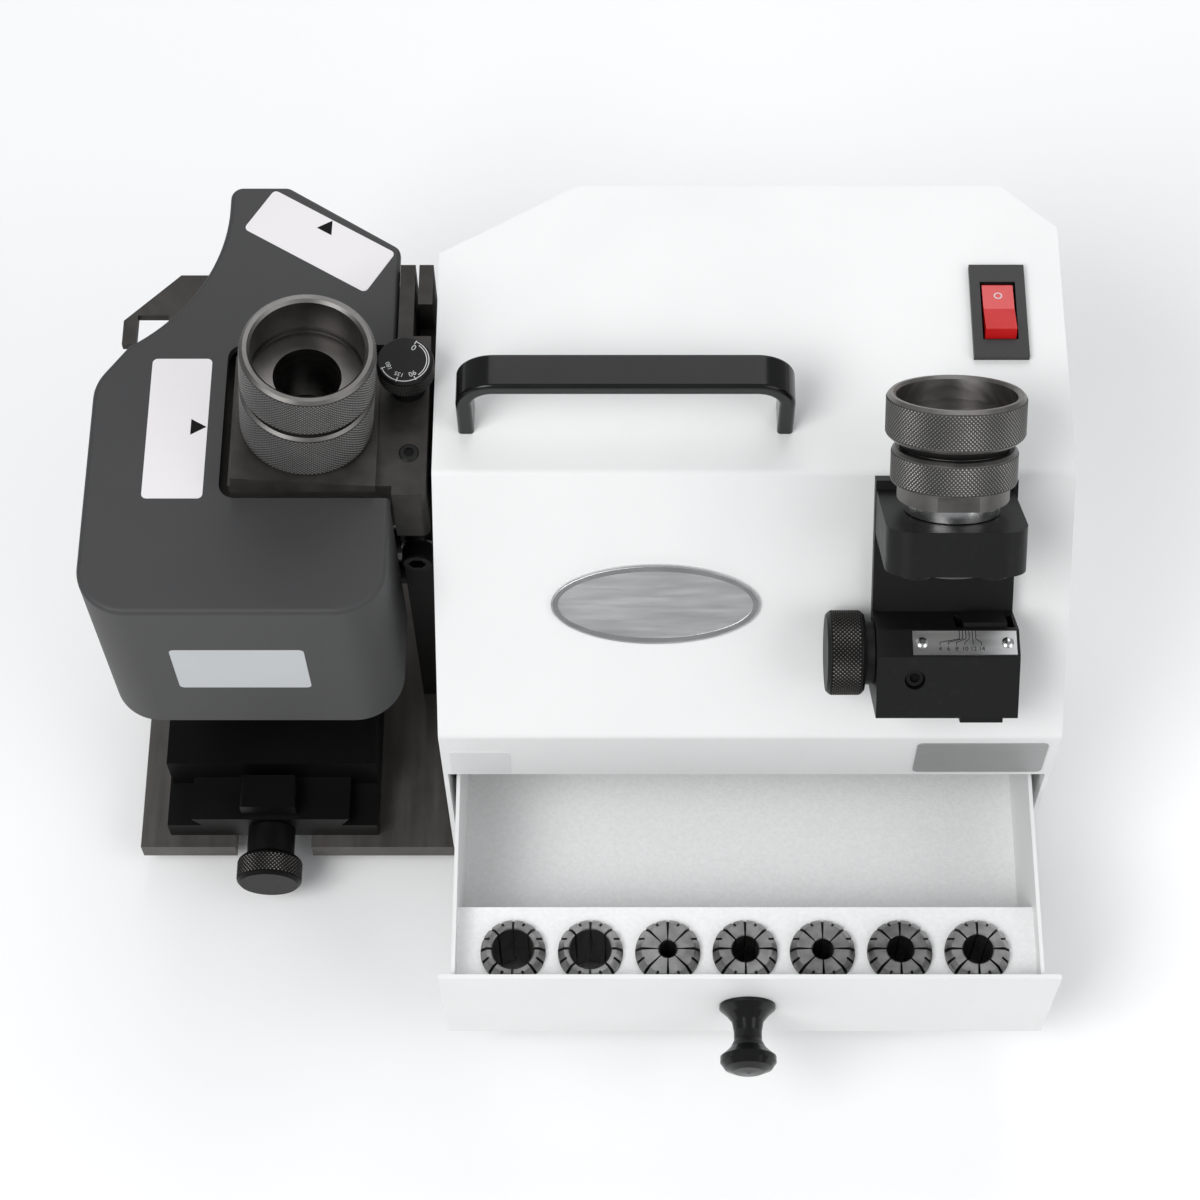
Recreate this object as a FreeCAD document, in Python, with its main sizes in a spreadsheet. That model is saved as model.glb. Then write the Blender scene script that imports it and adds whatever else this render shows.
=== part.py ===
import FreeCAD, Part
import math
import os
import re
import Sketcher

# Bench-top end-mill re-sharpener, millimetres. Before the frame shift, X = 0 is the middle of the
# photographed view, Y = 0 the front face of the case and Z = 0 the underside of the base plate.
DIMS = {
    # feet and base plate
    "foot_height": 8, "foot_radius": 9, "foot_inset": 16,
    "base_left": -171.3, "base_right": 136.8, "base_rear": 168.2, "base_thick": 8,
    "notch_width": 26.7, "notch_depth": 10,
    # how far a cutter runs past a face, and the slack round a plain screw shank
    "overrun": 1, "thread_gap": 0.1,
    # sheet-metal case
    "case_left": -61.6, "case_right": 138.5, "case_rear": 168.2, "case_height": 167.1, "wall": 1.5,
    "fold_radius": 3, "motor_hole_gap": 0.5,
    "apron_bottom": 72.6, "apron_top": 102.3, "slope_angle": 46.68,
    "left_corner_x": 44.4, "left_corner_y": 26.3, "right_corner_x": 17.6, "right_corner_y": 16.2,
    "panel_screw_head": 3.5, "panel_screw_shank": 1.7, "panel_screw_height": 2.2, "panel_screw_length": 6,
    "panel_screw_left": 0, "panel_screw_right": 106, "panel_screw_low": 22, "panel_screw_high": 150,
    # motor, upright plate and wheel, all on one shaft along X
    "shaft_y": 84, "shaft_z": 104, "shaft_radius": 5, "run_gap": 0.05,
    "upright_left": -74, "upright_right": -63, "upright_front": 59, "upright_rear": 140,
    "upright_top": 137.5, "bearing_radius": 13, "bearing_width": 8, "bearing_inset": 1, "shaft_tail": 4,
    "motor_radius": 31, "bell_length": 16, "can_length": 80, "stator_bore": 18.5, "rotor_radius": 18,
    "rotor_inset": 7, "bell_bore_gap": 3, "bell_tail_gap": 1, "bell_chamfer": 3, "bell_floor": 4,
    "motor_bolt_circle": 22, "motor_bolt_shank": 2.5, "motor_bolt_head": 4.25, "motor_bolt_head_length": 5,
    "motor_bolt_length": 22, "motor_bolt_angle": 30,
    "wheel_left": -113, "wheel_width": 16, "wheel_radius": 32, "wheel_core_radius": 26,
    "wheel_flange_radius": 9, "wheel_flange_width": 4, "wheel_nut_across": 17, "wheel_nut_width": 5,
    "capacitor_radius": 16, "capacitor_length": 58, "capacitor_x": 40, "capacitor_z": 130,
    "capacitor_chamfer": 2,
    # clamp bolt on the upright plate
    "clamp_x": -68.5, "clamp_z": 124, "clamp_shank": 3, "clamp_shank_length": 18, "clamp_head": 5,
    "clamp_head_length": 6, "clamp_chamfer": 0.5, "clamp_socket_across": 5, "clamp_socket_depth": 3,
    "washer_radius": 5.4, "washer_thick": 1.6,
    # dovetail slide, its carriage and the feed screw
    "slide_left": -161, "slide_right": -88, "slide_front": 4.5, "slide_rear": 128, "slide_step": 17,
    "tail_left": -152, "tail_right": -97.3, "tail_top": 22.4, "tail_inset": 3.1, "slide_gap": 0.35,
    "carriage_left": -160, "carriage_front": 20.4, "carriage_rear": 116, "carriage_top": 34.2,
    "feed_x": -125, "feed_z": 13, "feed_screw_radius": 3, "feed_slot_width": 10, "feed_slot_bottom": 8.6,
    "feed_slot_front": 24, "feed_slot_rear": 112, "feed_lug_front": 60, "feed_lug_length": 14,
    "feed_lug_gap": 1, "feed_lug_root": 2,
    "feed_knob_radius": 11, "feed_knob_front": -16, "feed_knob_length": 9.4, "feed_collar_radius": 8.2,
    "feed_knob_chamfer": 1, "feed_screw_socket": 2,
    "feed_screw_rear": 105, "block_width": 19, "block_front": 6, "block_length": 12, "block_top": 30,
    "block_round": 1,
    # column and cast bracket on the carriage
    "column_left": -150, "column_right": -124, "column_front": 60, "column_rear": 98,
    "bracket_bottom": 138, "bracket_top": 152, "bracket_right": -63.4, "bracket_front": 58,
    "bracket_rear": 143.5, "bracket_left": -158, "bracket_tail_left": -147, "bracket_tail_right": -78,
    "bracket_corner": 2.5, "hook_left": -164.5, "hook_throat": -160, "hook_root": -150, "hook_front": 117,
    "hook_corner": 126, "hook_rear": 128, "hook_thick": 3,
    "rest_left": -150, "rest_front": 70, "rest_middle": 100,
    "rest_tail_x": -118, "rest_tail_y": 128,
    "land_left": -125, "land_front": 57.5, "land_rear": 104.5, "land_top": 165,
    "strip_left": -74, "strip_front": 54.3, "strip_rear": 139, "prong_slot": 1.2, "prong_slot_x": -68.6,
    "prong_slot_front": 112, "prong_pocket_rear": 124, "prong_pocket_depth": 15, "tool_hole_radius": 13,
    # primary holder, leaning back and to the right
    "holder_x": -101, "holder_y": 78, "holder_z": 168.8, "lean_back": 4, "lean_right": 6,
    "pad_side": 44.6, "pad_depth": 14, "holder_bore": 10.5, "seat_radius": 17.1, "seat_height": 24.6,
    "ring_radius": 20.5, "socket_bore": 17.4, "socket_undercut": 18.3, "lock_ring_bottom": 0.5,
    "lock_ring_top": 20.6, "socket_ring_bottom": 22.8, "socket_ring_top": 40, "ring_chamfer": 0.9,
    "socket_step": 2.5, "socket_clear": 0.5,
    # secondary holder at the back of the bracket
    "rear_holder_x": -105, "rear_holder_z": 118, "rear_holder_side": 40, "rear_holder_front": 121,
    "rear_holder_length": 29, "rear_flange_radius": 20, "rear_flange_length": 10, "rear_bore": 15,
    # angle dial
    "dial_x": -70, "dial_y": 93, "dial_radius": 8.75, "dial_stem": 5.6, "dial_stem_height": 8,
    "dial_head_height": 8, "dial_flare": 0.6, "dial_round": 0.8, "dial_crown": 0.6, "lift_gap": 0.3,
    # wheel guard
    "guard_left": -170, "guard_right": -74.5, "guard_front": 14.4, "guard_bottom": 84, "guard_top": 163,
    "guard_wall": 3, "guard_shoulder_y": 96, "scoop_start_x": -160, "scoop_start_y": 110,
    "scoop_end_x": -131, "scoop_end_y": 163, "scoop_radius": 62, "guard_rear": 171, "guard_tail_x": -112,
    "guard_chamfer_y": 147, "guard_corner": 16, "guard_edge": 1.8, "guard_skirt_rear": 100,
    "guard_lip": 152.6, "guard_rest": 5, "guard_tail_corner": 4, "side_cut_front": 2, "side_cut_rear": 3,
    "window_left": -128, "window_front": 54.3, "window_rear": 110, "window_corner": 5,
    # carrying handle
    "handle_left": -53.7, "handle_right": 50.9, "handle_front": 74.8, "handle_width": 12,
    "handle_bar": 5, "handle_top": 195.5, "handle_bend": 12, "handle_edge": 1.2,
    # mains switch
    "switch_x": 117.6, "switch_y": 119.1, "bezel_width": 17.6, "bezel_length": 34.6, "bezel_height": 2,
    "switch_body_width": 14.4, "switch_body_length": 30, "switch_body_depth": 24,
    "rocker_width": 9.9, "rocker_length": 20.2, "rocker_gap": 0.7, "rocker_pivot_z": 167, "rocker_pocket": 13,
    "rocker_swing": 1.3, "rocker_rise": 5.2, "rocker_dip": 1.2, "rocker_middle": 2.2,
    "rocker_chamfer": 3, "rocker_depth": 4, "rocker_ridge": 0.5,
    # bare badge and bare plate
    "badge_x": 8, "badge_along": 45.8, "badge_length": 66, "badge_width": 26.5, "badge_thick": 1.2,
    "plate_left": 92.8, "plate_right": 135.1, "plate_bottom": 75.4, "plate_top": 97.9, "plate_thick": 0.4,
    "plate_corner": 2,
    # cable gland at the back
    "gland_x": 100, "gland_z": 60, "gland_bore": 4, "gland_thread": 8, "gland_flange": 12,
    "gland_flange_length": 5, "gland_nose": 9.5, "gland_length": 18, "gland_inside": 9,
    "gland_taper": 4, "gland_lip": 2,
    # drawer
    "drawer_out": 68.2, "front_gap": 0.3, "front_margin": 0.3, "front_bottom": 17, "front_top": 70,
    "front_thick": 1.5, "tray_left": -57.6, "tray_right": 133.4, "tray_depth": 130, "tray_bottom": 18,
    "tray_top": 66, "tray_wall": 1.2, "rail_top": 17.6, "rail_width": 12, "rail_rear": 138, "sill_top": 16.6,
    "rail_gap": 0.3,
    "liner_top": 22.5, "rack_depth": 26.5, "rack_top": 57, "rack_pocket": 10.65, "rack_floor": 23.4,
    "collet_first_x": -38.1, "collet_pitch": 25.2, "collet_inset": 12, "collet_radius": 10.5,
    "collet_length": 31.5, "collet_top": 61, "collet_nose": 8.6, "collet_shoulder": 2.2,
    "collet_groove": 4.6, "collet_groove_width": 2.4, "collet_groove_depth": 1.3, "collet_tail": 6.7,
    "collet_taper": 1.5, "collet_tail_wall": 1,
    "knob_x": 38.5, "knob_z": 43.5, "knob_length": 23, "knob_flange": 9.25, "knob_waist": 4.6,
    "knob_head": 9.2,
    # setting fixture, measured across, up the slope and out from it
    "setter_left": 76, "setter_right": 120, "setter_base": 18.2, "setter_step": 38.4, "setter_shoulder": 45,
    "setter_depth": 28, "back_plate_thick": 5, "back_plate_top": 88,
    "seat_left": 76.2, "seat_right": 118.6, "seat_base": 71, "seat_top": 85, "seat_front": 46.7,
    "seat_corner": 8,
    "bar_left": 103.2, "bar_right": 116.6, "bar_bottom": 13, "bar_top": 46.4, "bar_back": 9, "bar_front": 19,
    "bar_travel": 2, "bar_gap": 0.4, "adjust_along": 34.6, "adjust_out": 14, "adjust_stem": 3,
    "adjust_thread": 2.5, "adjust_knob": 13, "adjust_knob_length": 11.8, "adjust_collar": 10,
    "adjust_collar_length": 2.9, "adjust_tip": 113, "adjust_chamfer": 1,
    "grub_x": 87.8, "grub_along": 30.9, "grub_radius": 3.2, "grub_depth": 7,
    "scale_left": 87, "scale_length": 32, "scale_width": 8, "scale_thick": 0.6,
    "seat_screw_left": 86, "seat_screw_right": 109, "seat_screw_out": 38, "seat_screw_head": 4.2,
    "seat_screw_shank": 2.4, "seat_screw_head_length": 2.6, "seat_screw_length": 9, "seat_screw_relief": 0.5,
    # collet chuck resting in the setting fixture
    "chuck_x": 97.5, "chuck_out": 25, "chuck_tip": 67, "chuck_shank": 12.95, "chuck_neck": 12,
    "chuck_collar": 14.5, "collar_top": 89, "nut_base": 89.3, "nut_band": 17, "nut_band_top": 94,
    "nut_radius": 18.9, "nut_top": 105.2, "groove_radius": 16.5, "crown_base": 108.5, "crown_top": 121.8,
    "crown_radius": 20.85, "dish_radius": 18.2, "dish_depth": 7, "nut_flat": 15.8, "seat_gap": 0.1,
    "chuck_chamfer": 0.9, "chuck_nose": 1, "dish_lip": 0.8, "dish_taper": 0.4, "dish_cone": 0.6,
    "nut_step": 0.7,
}
COLLET_BORES = (13.6, 13.6, 6, 9, 7, 9, 10)
SCALE_TURN = -45

# Drawer knob: radius and distance from the drawer front
KNOB_PROFILE = (
    ("0", "0"), ("knob_flange", "0"), ("knob_flange", "1.2"), ("knob_flange - 2.2", "3.2"),
    ("knob_waist + 0.6", "5.6"), ("knob_waist", "9"), ("knob_waist", "12"), ("knob_waist + 1.2", "14.4"),
    ("knob_head - 1.6", "16.2"), ("knob_head", "17.6"), ("knob_head", "19.4"), ("knob_head - 1.4", "21.4"),
    ("knob_head - 4.2", "knob_length - 0.4"), ("0", "knob_length"),
)

# Lengths that follow from the driving ones, as formulas
SLOPE_RUN = "(case_height - apron_top) / tan(slope_angle)"
FOLD_IN = "apron_top - wall * tan((90 - slope_angle) / 2)"
CREST_IN = f"{SLOPE_RUN} + wall * tan(slope_angle / 2)"
LEFT_FACET = "sqrt(left_corner_x^2 + left_corner_y^2)"
RIGHT_FACET = "sqrt(right_corner_x^2 + right_corner_y^2)"
LEFT_PANEL_REAR = f"case_rear - left_corner_y - wall * {LEFT_FACET} / left_corner_x"
RIGHT_PANEL_REAR = f"case_rear - right_corner_y - wall * {RIGHT_FACET} / right_corner_x"
DRAWER_FACE = "-(drawer_out + front_gap + front_thick)"
TRAY_FRONT = "-(drawer_out + front_gap)"
KNOB_TIP = f"{DRAWER_FACE} - knob_length"
FRAME_X = "(base_left + case_right) / 2"
FRAME_Y = f"({KNOB_TIP} + case_rear + gland_length) / 2"

doc = FreeCAD.newDocument("end_mill_sharpener")
sheet = doc.addObject("Spreadsheet::Sheet", "dims")
for row, (alias, size) in enumerate(DIMS.items(), 1):
    sheet.set(f"A{row}", alias)
    sheet.set(f"B{row}", str(size))
    sheet.setAlias(f"B{row}", alias)
doc.recompute()

NODES = {}


def formula(text):
    return re.sub(r"[a-z_]+", lambda word: f"dims.{word[0]}" if word[0] in DIMS else word[0], str(text))


def number(text):
    return float(sheet.evalExpression(formula(text)))


def bind(thing, prop, text):
    thing.setExpression(prop, formula(text))


def node(label, thing):
    thing.Label = label
    NODES[label] = thing
    return thing


def new_body(label):
    return node(label, doc.addObject("PartDesign::Body", label))


def place(thing, x="0", y="0", z="0", rotation=None):
    if rotation:
        thing.Placement = FreeCAD.Placement(FreeCAD.Vector(), rotation)
    bind(thing, "Placement.Base.x", f"{x} - ({FRAME_X})")
    bind(thing, "Placement.Base.y", f"{y} - ({FRAME_Y})")
    bind(thing, "Placement.Base.z", f"{z} + foot_height")
    return thing


def about_x(degrees):
    return FreeCAD.Rotation(FreeCAD.Vector(1, 0, 0), degrees)


def place_on_slope(thing, x="0", along="0", out="0", turn=0):
    """Local Y runs up the slope and local Z out of it, unless the piece is turned about X first."""
    y = f"{along} * cos(slope_angle) - ({out}) * sin(slope_angle)"
    z = f"apron_top + {along} * sin(slope_angle) + ({out}) * cos(slope_angle)"
    return place(thing, x, y, z, about_x(number("slope_angle") + turn))


ALONG_X = FreeCAD.Rotation(FreeCAD.Vector(0, 1, 0), 90)
ALONG_Y = about_x(-90)
TO_FRONT = about_x(90)
LEAN = FreeCAD.Rotation(
    FreeCAD.Vector(0, 0, 1),
    FreeCAD.Vector(number("tan(lean_right)"), number("tan(lean_back)"), 1),
)


def new_sketch(body, plane, height):
    sketch = body.newObject("Sketcher::SketchObject", f"{body.Name}_sketch")
    support = next(item for item in body.Origin.OriginFeatures if item.Role == plane)
    sketch.AttachmentSupport = [(support, "")]
    sketch.MapMode = "FlatFace"
    sign = "-" if plane == "XZ_Plane" else ""
    bind(sketch, "AttachmentOffset.Base.z", f"{sign}({height})")
    return sketch


def fix(sketch, kind, where, text):
    index = sketch.addConstraint(Sketcher.Constraint(kind, *where, number(text)))
    bind(sketch, f"Constraints[{index}]", text)


def draw_outline(sketch, points, arcs=None):
    """Closed outline through pairs of formulas; arcs gives (radius, bulge) for the side after a point."""
    arcs = arcs or {}
    ends = [FreeCAD.Vector(number(x), number(y), 0) for x, y in points]
    count = len(ends)
    starts = {}
    for side, start in enumerate(ends):
        end = ends[(side + 1) % count]
        if side not in arcs:
            sketch.addGeometry(Part.LineSegment(start, end), False)
            starts[side] = (1, 2)
            continue
        radius, bulge = arcs[side]
        chord = end - start
        half = chord.Length / 2
        depth = (number(radius) ** 2 - half**2) ** 0.5
        centre = (start + end) * 0.5 - FreeCAD.Vector(-chord.y, chord.x, 0) * (bulge * depth / chord.Length)
        first, last = (end, start) if bulge > 0 else (start, end)
        turn = [math.atan2(point.y - centre.y, point.x - centre.x) for point in (first, last)]
        circle = Part.Circle(centre, FreeCAD.Vector(0, 0, 1), number(radius))
        sketch.addGeometry(Part.ArcOfCircle(circle, turn[0], turn[1]), False)
        starts[side] = (2, 1) if bulge > 0 else (1, 2)
        fix(sketch, "Radius", (side,), radius)
    for side in range(count):
        after = (side + 1) % count
        joined = (side, starts[side][1], after, starts[after][0])
        sketch.addConstraint(Sketcher.Constraint("Coincident", *joined))
    for side, (x, y) in enumerate(points):
        fix(sketch, "DistanceX", (-1, 1, side, starts[side][0]), x)
        fix(sketch, "DistanceY", (-1, 1, side, starts[side][0]), y)


def draw_circles(sketch, circles):
    for index, (x, y, radius) in enumerate(circles):
        centre = FreeCAD.Vector(number(x), number(y), 0)
        sketch.addGeometry(Part.Circle(centre, FreeCAD.Vector(0, 0, 1), number(radius)), False)
        fix(sketch, "DistanceX", (-1, 1, index, 3), x)
        fix(sketch, "DistanceY", (-1, 1, index, 3), y)
        fix(sketch, "Radius", (index,), radius)


def draw(sketch, points, arcs, circles):
    if points:
        draw_outline(sketch, points, arcs)
    else:
        draw_circles(sketch, circles)


def feature(body, kind, sketch, length):
    made = body.newObject(f"PartDesign::{kind}", f"{body.Name}_{kind.lower()}")
    made.Profile = sketch
    bind(made, "Length", length)
    return made


def add(body, plane, low, high, points=None, arcs=None, circles=None):
    """Pad between two heights along the axis that the plane leaves out."""
    sketch = new_sketch(body, plane, high if plane == "XZ_Plane" else low)
    draw(sketch, points, arcs, circles)
    return feature(body, "Pad", sketch, f"{high} - ({low})")


def cut(body, plane, low, high, points=None, circles=None):
    """Pocket between two heights, checked by the volume that it takes away."""
    doc.recompute()
    before = body.Shape.Volume
    sketch = new_sketch(body, plane, low if plane == "XZ_Plane" else high)
    draw(sketch, points, None, circles)
    made = feature(body, "Pocket", sketch, f"{high} - ({low})")
    doc.recompute()
    if body.Shape.Volume > before - 1e-3:
        raise ValueError(f"a pocket in {body.Label} cuts nothing")
    return made


def rectangle(left, bottom, right, top):
    return [(left, bottom), (right, bottom), (right, top), (left, top)]


def round_edges(body, radius, chosen, kind="Fillet"):
    """Round the edges of the body's last shape that the test accepts."""
    doc.recompute()
    base = body.Tip
    names = [f"Edge{i}" for i, edge in enumerate(base.Shape.Edges, 1) if chosen(edge)]
    if not names:
        raise ValueError(f"no edge to round on {body.Label}")
    made = body.newObject(f"PartDesign::{kind}", f"{body.Name}_{kind.lower()}")
    made.Base = (base, names)
    bind(made, "Radius" if kind == "Fillet" else "Size", radius)
    doc.recompute()
    return made


def upright_at(axis, spots):
    """Test for straight edges along an axis that pass through one of the spots in the other two."""
    index = "xyz".index(axis)
    others = [i for i in range(3) if i != index]
    wanted = [tuple(number(value) for value in spot) for spot in spots]

    def chosen(edge):
        if edge.Curve.TypeId != "Part::GeomLine" or abs(edge.Curve.Direction[index]) < 0.999:
            return False
        here = [edge.Vertexes[0].Point[i] for i in others]
        return any(abs(here[0] - a) + abs(here[1] - b) < 1e-3 for a, b in wanted)

    return chosen


def turned(label, profile, thing=None):
    """Body of revolution from (radius, height) pairs, its axis along local Z."""
    body = thing or new_body(label)
    sketch = new_sketch(body, "XZ_Plane", "0")
    draw_outline(sketch, profile)
    made = body.newObject("PartDesign::Revolution", f"{label}_turning")
    made.Profile = sketch
    made.ReferenceAxis = (sketch, ["V_Axis"])
    made.Angle = 360
    return body


def hexagon(across):
    """Corners of a regular hexagon from its width across flats."""
    return [(f"{across} / sqrt(3) * cos({60 * i})", f"{across} / sqrt(3) * sin({60 * i})") for i in range(6)]


def tube(inner, outer, low, high):
    return [(inner, low), (outer, low), (outer, high), (inner, high)]


def cylinder(radius, length, x, y, z, rotation=None):
    made = doc.addObject("Part::Cylinder", "round")
    bind(made, "Radius", radius)
    bind(made, "Height", length)
    if rotation:
        made.Placement = FreeCAD.Placement(FreeCAD.Vector(), rotation)
    for axis, text in zip("xyz", (x, y, z)):
        bind(made, f"Placement.Base.{axis}", text)
    return made


def fused(*things):
    made = doc.addObject("Part::MultiFuse", "joined")
    made.Shapes = list(things)
    return made


def group(label, things):
    made = doc.addObject("Part::Compound", label)
    made.Links = things
    return node(label, made)


def make_base():
    body = new_body("base_plate")
    notch = [("feed_x + notch_width / 2", "0"), ("feed_x + notch_width / 2", "notch_depth"),
             ("feed_x - notch_width / 2", "notch_depth"), ("feed_x - notch_width / 2", "0")]
    corners = [("base_left", "base_rear"), ("base_left", "0")]
    outline = corners + notch[::-1] + [("base_right", "0"), ("base_right", "base_rear")]
    add(body, "XY_Plane", "0", "base_thick", outline)
    place(body)
    spots = [(x, y) for x in ("base_left + foot_inset", "base_right - foot_inset")
             for y in ("foot_inset", "base_rear - foot_inset")]
    feet = [cylinder("foot_radius", "foot_height", x, y, "-foot_height") for x, y in spots]
    place(group("rubber_feet", feet))


def make_case():
    wrap = new_body("case_wrap")
    profile = [("0", "apron_bottom"), ("wall", "apron_bottom"), ("wall", FOLD_IN),
               (CREST_IN, "case_height - wall"), ("case_rear", "case_height - wall"),
               ("case_rear", "case_height"), (SLOPE_RUN, "case_height"), ("0", "apron_top")]
    add(wrap, "YZ_Plane", "case_left", "case_right", profile)
    round_edges(wrap, "fold_radius", upright_at("x", [("0", "apron_top"), (SLOPE_RUN, "case_height")]))
    low, high = "case_height - 2 * wall", "case_height + wall"
    cut(wrap, "XY_Plane", low, high, [
        ("case_left", "case_rear - left_corner_y"), ("case_left + left_corner_x", "case_rear"),
        ("case_left", "case_rear")])
    cut(wrap, "XY_Plane", low, high, [
        ("case_right", "case_rear - right_corner_y"), ("case_right", "case_rear"),
        ("case_right - right_corner_x", "case_rear")])
    half_x, half_y = "switch_body_width / 2", "switch_body_length / 2"
    cut(wrap, "XY_Plane", low, high, rectangle(f"switch_x - {half_x}", f"switch_y - {half_y}",
                                               f"switch_x + {half_x}", f"switch_y + {half_y}"))
    place(wrap)
    sides = (("left_side_panel", "case_left", "case_left + wall", "base_thick", LEFT_PANEL_REAR),
             ("right_side_panel", "case_right - wall", "case_right", "0", RIGHT_PANEL_REAR))
    for label, low, high, foot, rear in sides:
        panel = new_body(label)
        add(panel, "YZ_Plane", low, high, [
            ("0", foot), (rear, foot), (rear, "case_height - wall"), (CREST_IN, "case_height - wall"),
            ("wall", FOLD_IN), ("wall", "apron_bottom"), ("0", "apron_bottom")])
        if label == "left_side_panel":
            cut(panel, "YZ_Plane", low, high,
                circles=[("shaft_y", "shaft_z", "motor_radius + motor_hole_gap")])
        place(panel)
    rear = new_body("rear_panel")
    left_in = f"case_left + left_corner_x + wall * ({LEFT_FACET} - left_corner_x) / left_corner_y"
    right_in = f"case_right - right_corner_x - wall * ({RIGHT_FACET} - right_corner_x) / right_corner_y"
    add(rear, "XY_Plane", "base_thick", "case_height - wall", [
        ("case_left", "case_rear - left_corner_y"), ("case_left", LEFT_PANEL_REAR),
        (left_in, "case_rear - wall"), (right_in, "case_rear - wall"), ("case_right", RIGHT_PANEL_REAR),
        ("case_right", "case_rear - right_corner_y"), ("case_right - right_corner_x", "case_rear"),
        ("case_left + left_corner_x", "case_rear")])
    spots = [(x, z) for x in ("panel_screw_left", "panel_screw_right")
             for z in ("panel_screw_low", "panel_screw_high")]
    holes = [(x, z, "panel_screw_shank + thread_gap") for x, z in spots]
    holes.append(("gland_x", "gland_z", "gland_thread"))
    cut(rear, "XZ_Plane", "case_rear - 2 * wall", "case_rear + wall", circles=holes)
    place(rear)
    screw_start = "case_rear - panel_screw_length"
    screws = [fused(cylinder("panel_screw_head", "panel_screw_height", x, "case_rear", z, ALONG_Y),
                    cylinder("panel_screw_shank", "panel_screw_length", x, screw_start, z, ALONG_Y))
              for x, z in spots]
    place(group("panel_screws", screws))
    rails = new_body("drawer_rails")
    inner = "rail_width + wall"
    left, right = "case_left + wall", "case_right - wall - rail_gap"
    add(rails, "XY_Plane", "base_thick", "sill_top", [
        (left, "wall"), (right, "wall"), (right, "rail_rear"), (f"{right} - rail_width", "rail_rear"),
        (f"{right} - rail_width", inner), (f"{left} + rail_width", inner),
        (f"{left} + rail_width", "rail_rear"), (left, "rail_rear")])
    for start in (left, f"{right} - rail_width"):
        add(rails, "XY_Plane", "sill_top", "rail_top",
            rectangle(start, "wall", f"{start} + rail_width", "rail_rear"))
    place(rails)
    plate = new_body("rating_plate")
    add(plate, "XZ_Plane", "-plate_thick", "0",
        rectangle("plate_left", "plate_bottom", "plate_right", "plate_top"))
    round_edges(plate, "plate_corner", upright_at("y", [
        (x, z) for x in ("plate_left", "plate_right") for z in ("plate_bottom", "plate_top")]))
    place(plate)
    ellipse = Part.Ellipse(FreeCAD.Vector(), number("badge_length / 2"), number("badge_width / 2"))
    oval = Part.Wire(ellipse.toShape())
    badge = node("oval_badge", doc.addObject("Part::Feature", "oval_badge"))
    badge.Shape = Part.Face(oval).extrude(FreeCAD.Vector(0, 0, number("badge_thick")))
    place_on_slope(badge, "badge_x", "badge_along")
    gland = turned("cable_gland", [
        ("gland_bore", "-gland_inside"), ("gland_thread", "-gland_inside"), ("gland_thread", "0"),
        ("gland_flange", "0"), ("gland_flange", "gland_flange_length"), ("gland_nose", "gland_flange_length"),
        ("gland_nose", "gland_length - gland_taper"), ("gland_bore + gland_lip", "gland_length"),
        ("gland_bore", "gland_length")])
    place(gland, "gland_x", "case_rear", "gland_z", ALONG_Y)


def make_handle():
    body = new_body("carry_handle")
    add(body, "XZ_Plane", "handle_front", "handle_front + handle_width", [
        ("handle_left", "case_height"), ("handle_left + handle_bar", "case_height"),
        ("handle_left + handle_bar", "handle_top - handle_bar"),
        ("handle_right - handle_bar", "handle_top - handle_bar"),
        ("handle_right - handle_bar", "case_height"), ("handle_right", "case_height"),
        ("handle_right", "handle_top"), ("handle_left", "handle_top")])
    round_edges(body, "handle_bend", upright_at(
        "y", [("handle_left", "handle_top"), ("handle_right", "handle_top")]))
    inner = "handle_top - handle_bar"
    round_edges(body, "handle_bend - handle_bar", upright_at(
        "y", [("handle_left + handle_bar", inner), ("handle_right - handle_bar", inner)]))
    front, rear, foot = number("handle_front"), number("handle_front + handle_width"), number("case_height")
    round_edges(body, "handle_edge", lambda edge: edge.BoundBox.ZMax > foot + 0.1 and (
        edge.BoundBox.YMax < front + 1e-3 or edge.BoundBox.YMin > rear - 1e-3))
    place(body)


def make_switch():
    body = new_body("switch_housing")
    half_x, half_y = "bezel_width / 2", "bezel_length / 2"
    add(body, "XY_Plane", "case_height", "case_height + bezel_height", rectangle(
        f"switch_x - {half_x}", f"switch_y - {half_y}", f"switch_x + {half_x}", f"switch_y + {half_y}"))
    half_x, half_y = "switch_body_width / 2", "switch_body_length / 2"
    add(body, "XY_Plane", "case_height - switch_body_depth", "case_height", rectangle(
        f"switch_x - {half_x}", f"switch_y - {half_y}", f"switch_x + {half_x}", f"switch_y + {half_y}"))
    half_x, half_y = "(rocker_width / 2 + rocker_gap)", "(rocker_length / 2 + rocker_gap)"
    cut(body, "XY_Plane", "case_height - rocker_pocket", "case_height + bezel_height", rectangle(
        f"switch_x - {half_x}", f"switch_y - {half_y}", f"switch_x + {half_x}", f"switch_y + {half_y}"))
    place(body)
    rocker = new_body("switch_rocker")
    end = "rocker_length / 2"
    add(rocker, "YZ_Plane", "-rocker_width / 2", "rocker_width / 2", [
        (f"-({end})", "rocker_dip"), (f"-({end}) + rocker_chamfer", "-rocker_depth"),
        (f"{end} - rocker_chamfer", "-rocker_depth"), (end, "rocker_dip - rocker_chamfer"),
        (end, "rocker_dip"), ("rocker_ridge", "rocker_middle"),
        (f"-({end}) + rocker_swing", "rocker_rise")])
    place(rocker, "switch_x", "switch_y", "rocker_pivot_z")


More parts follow.
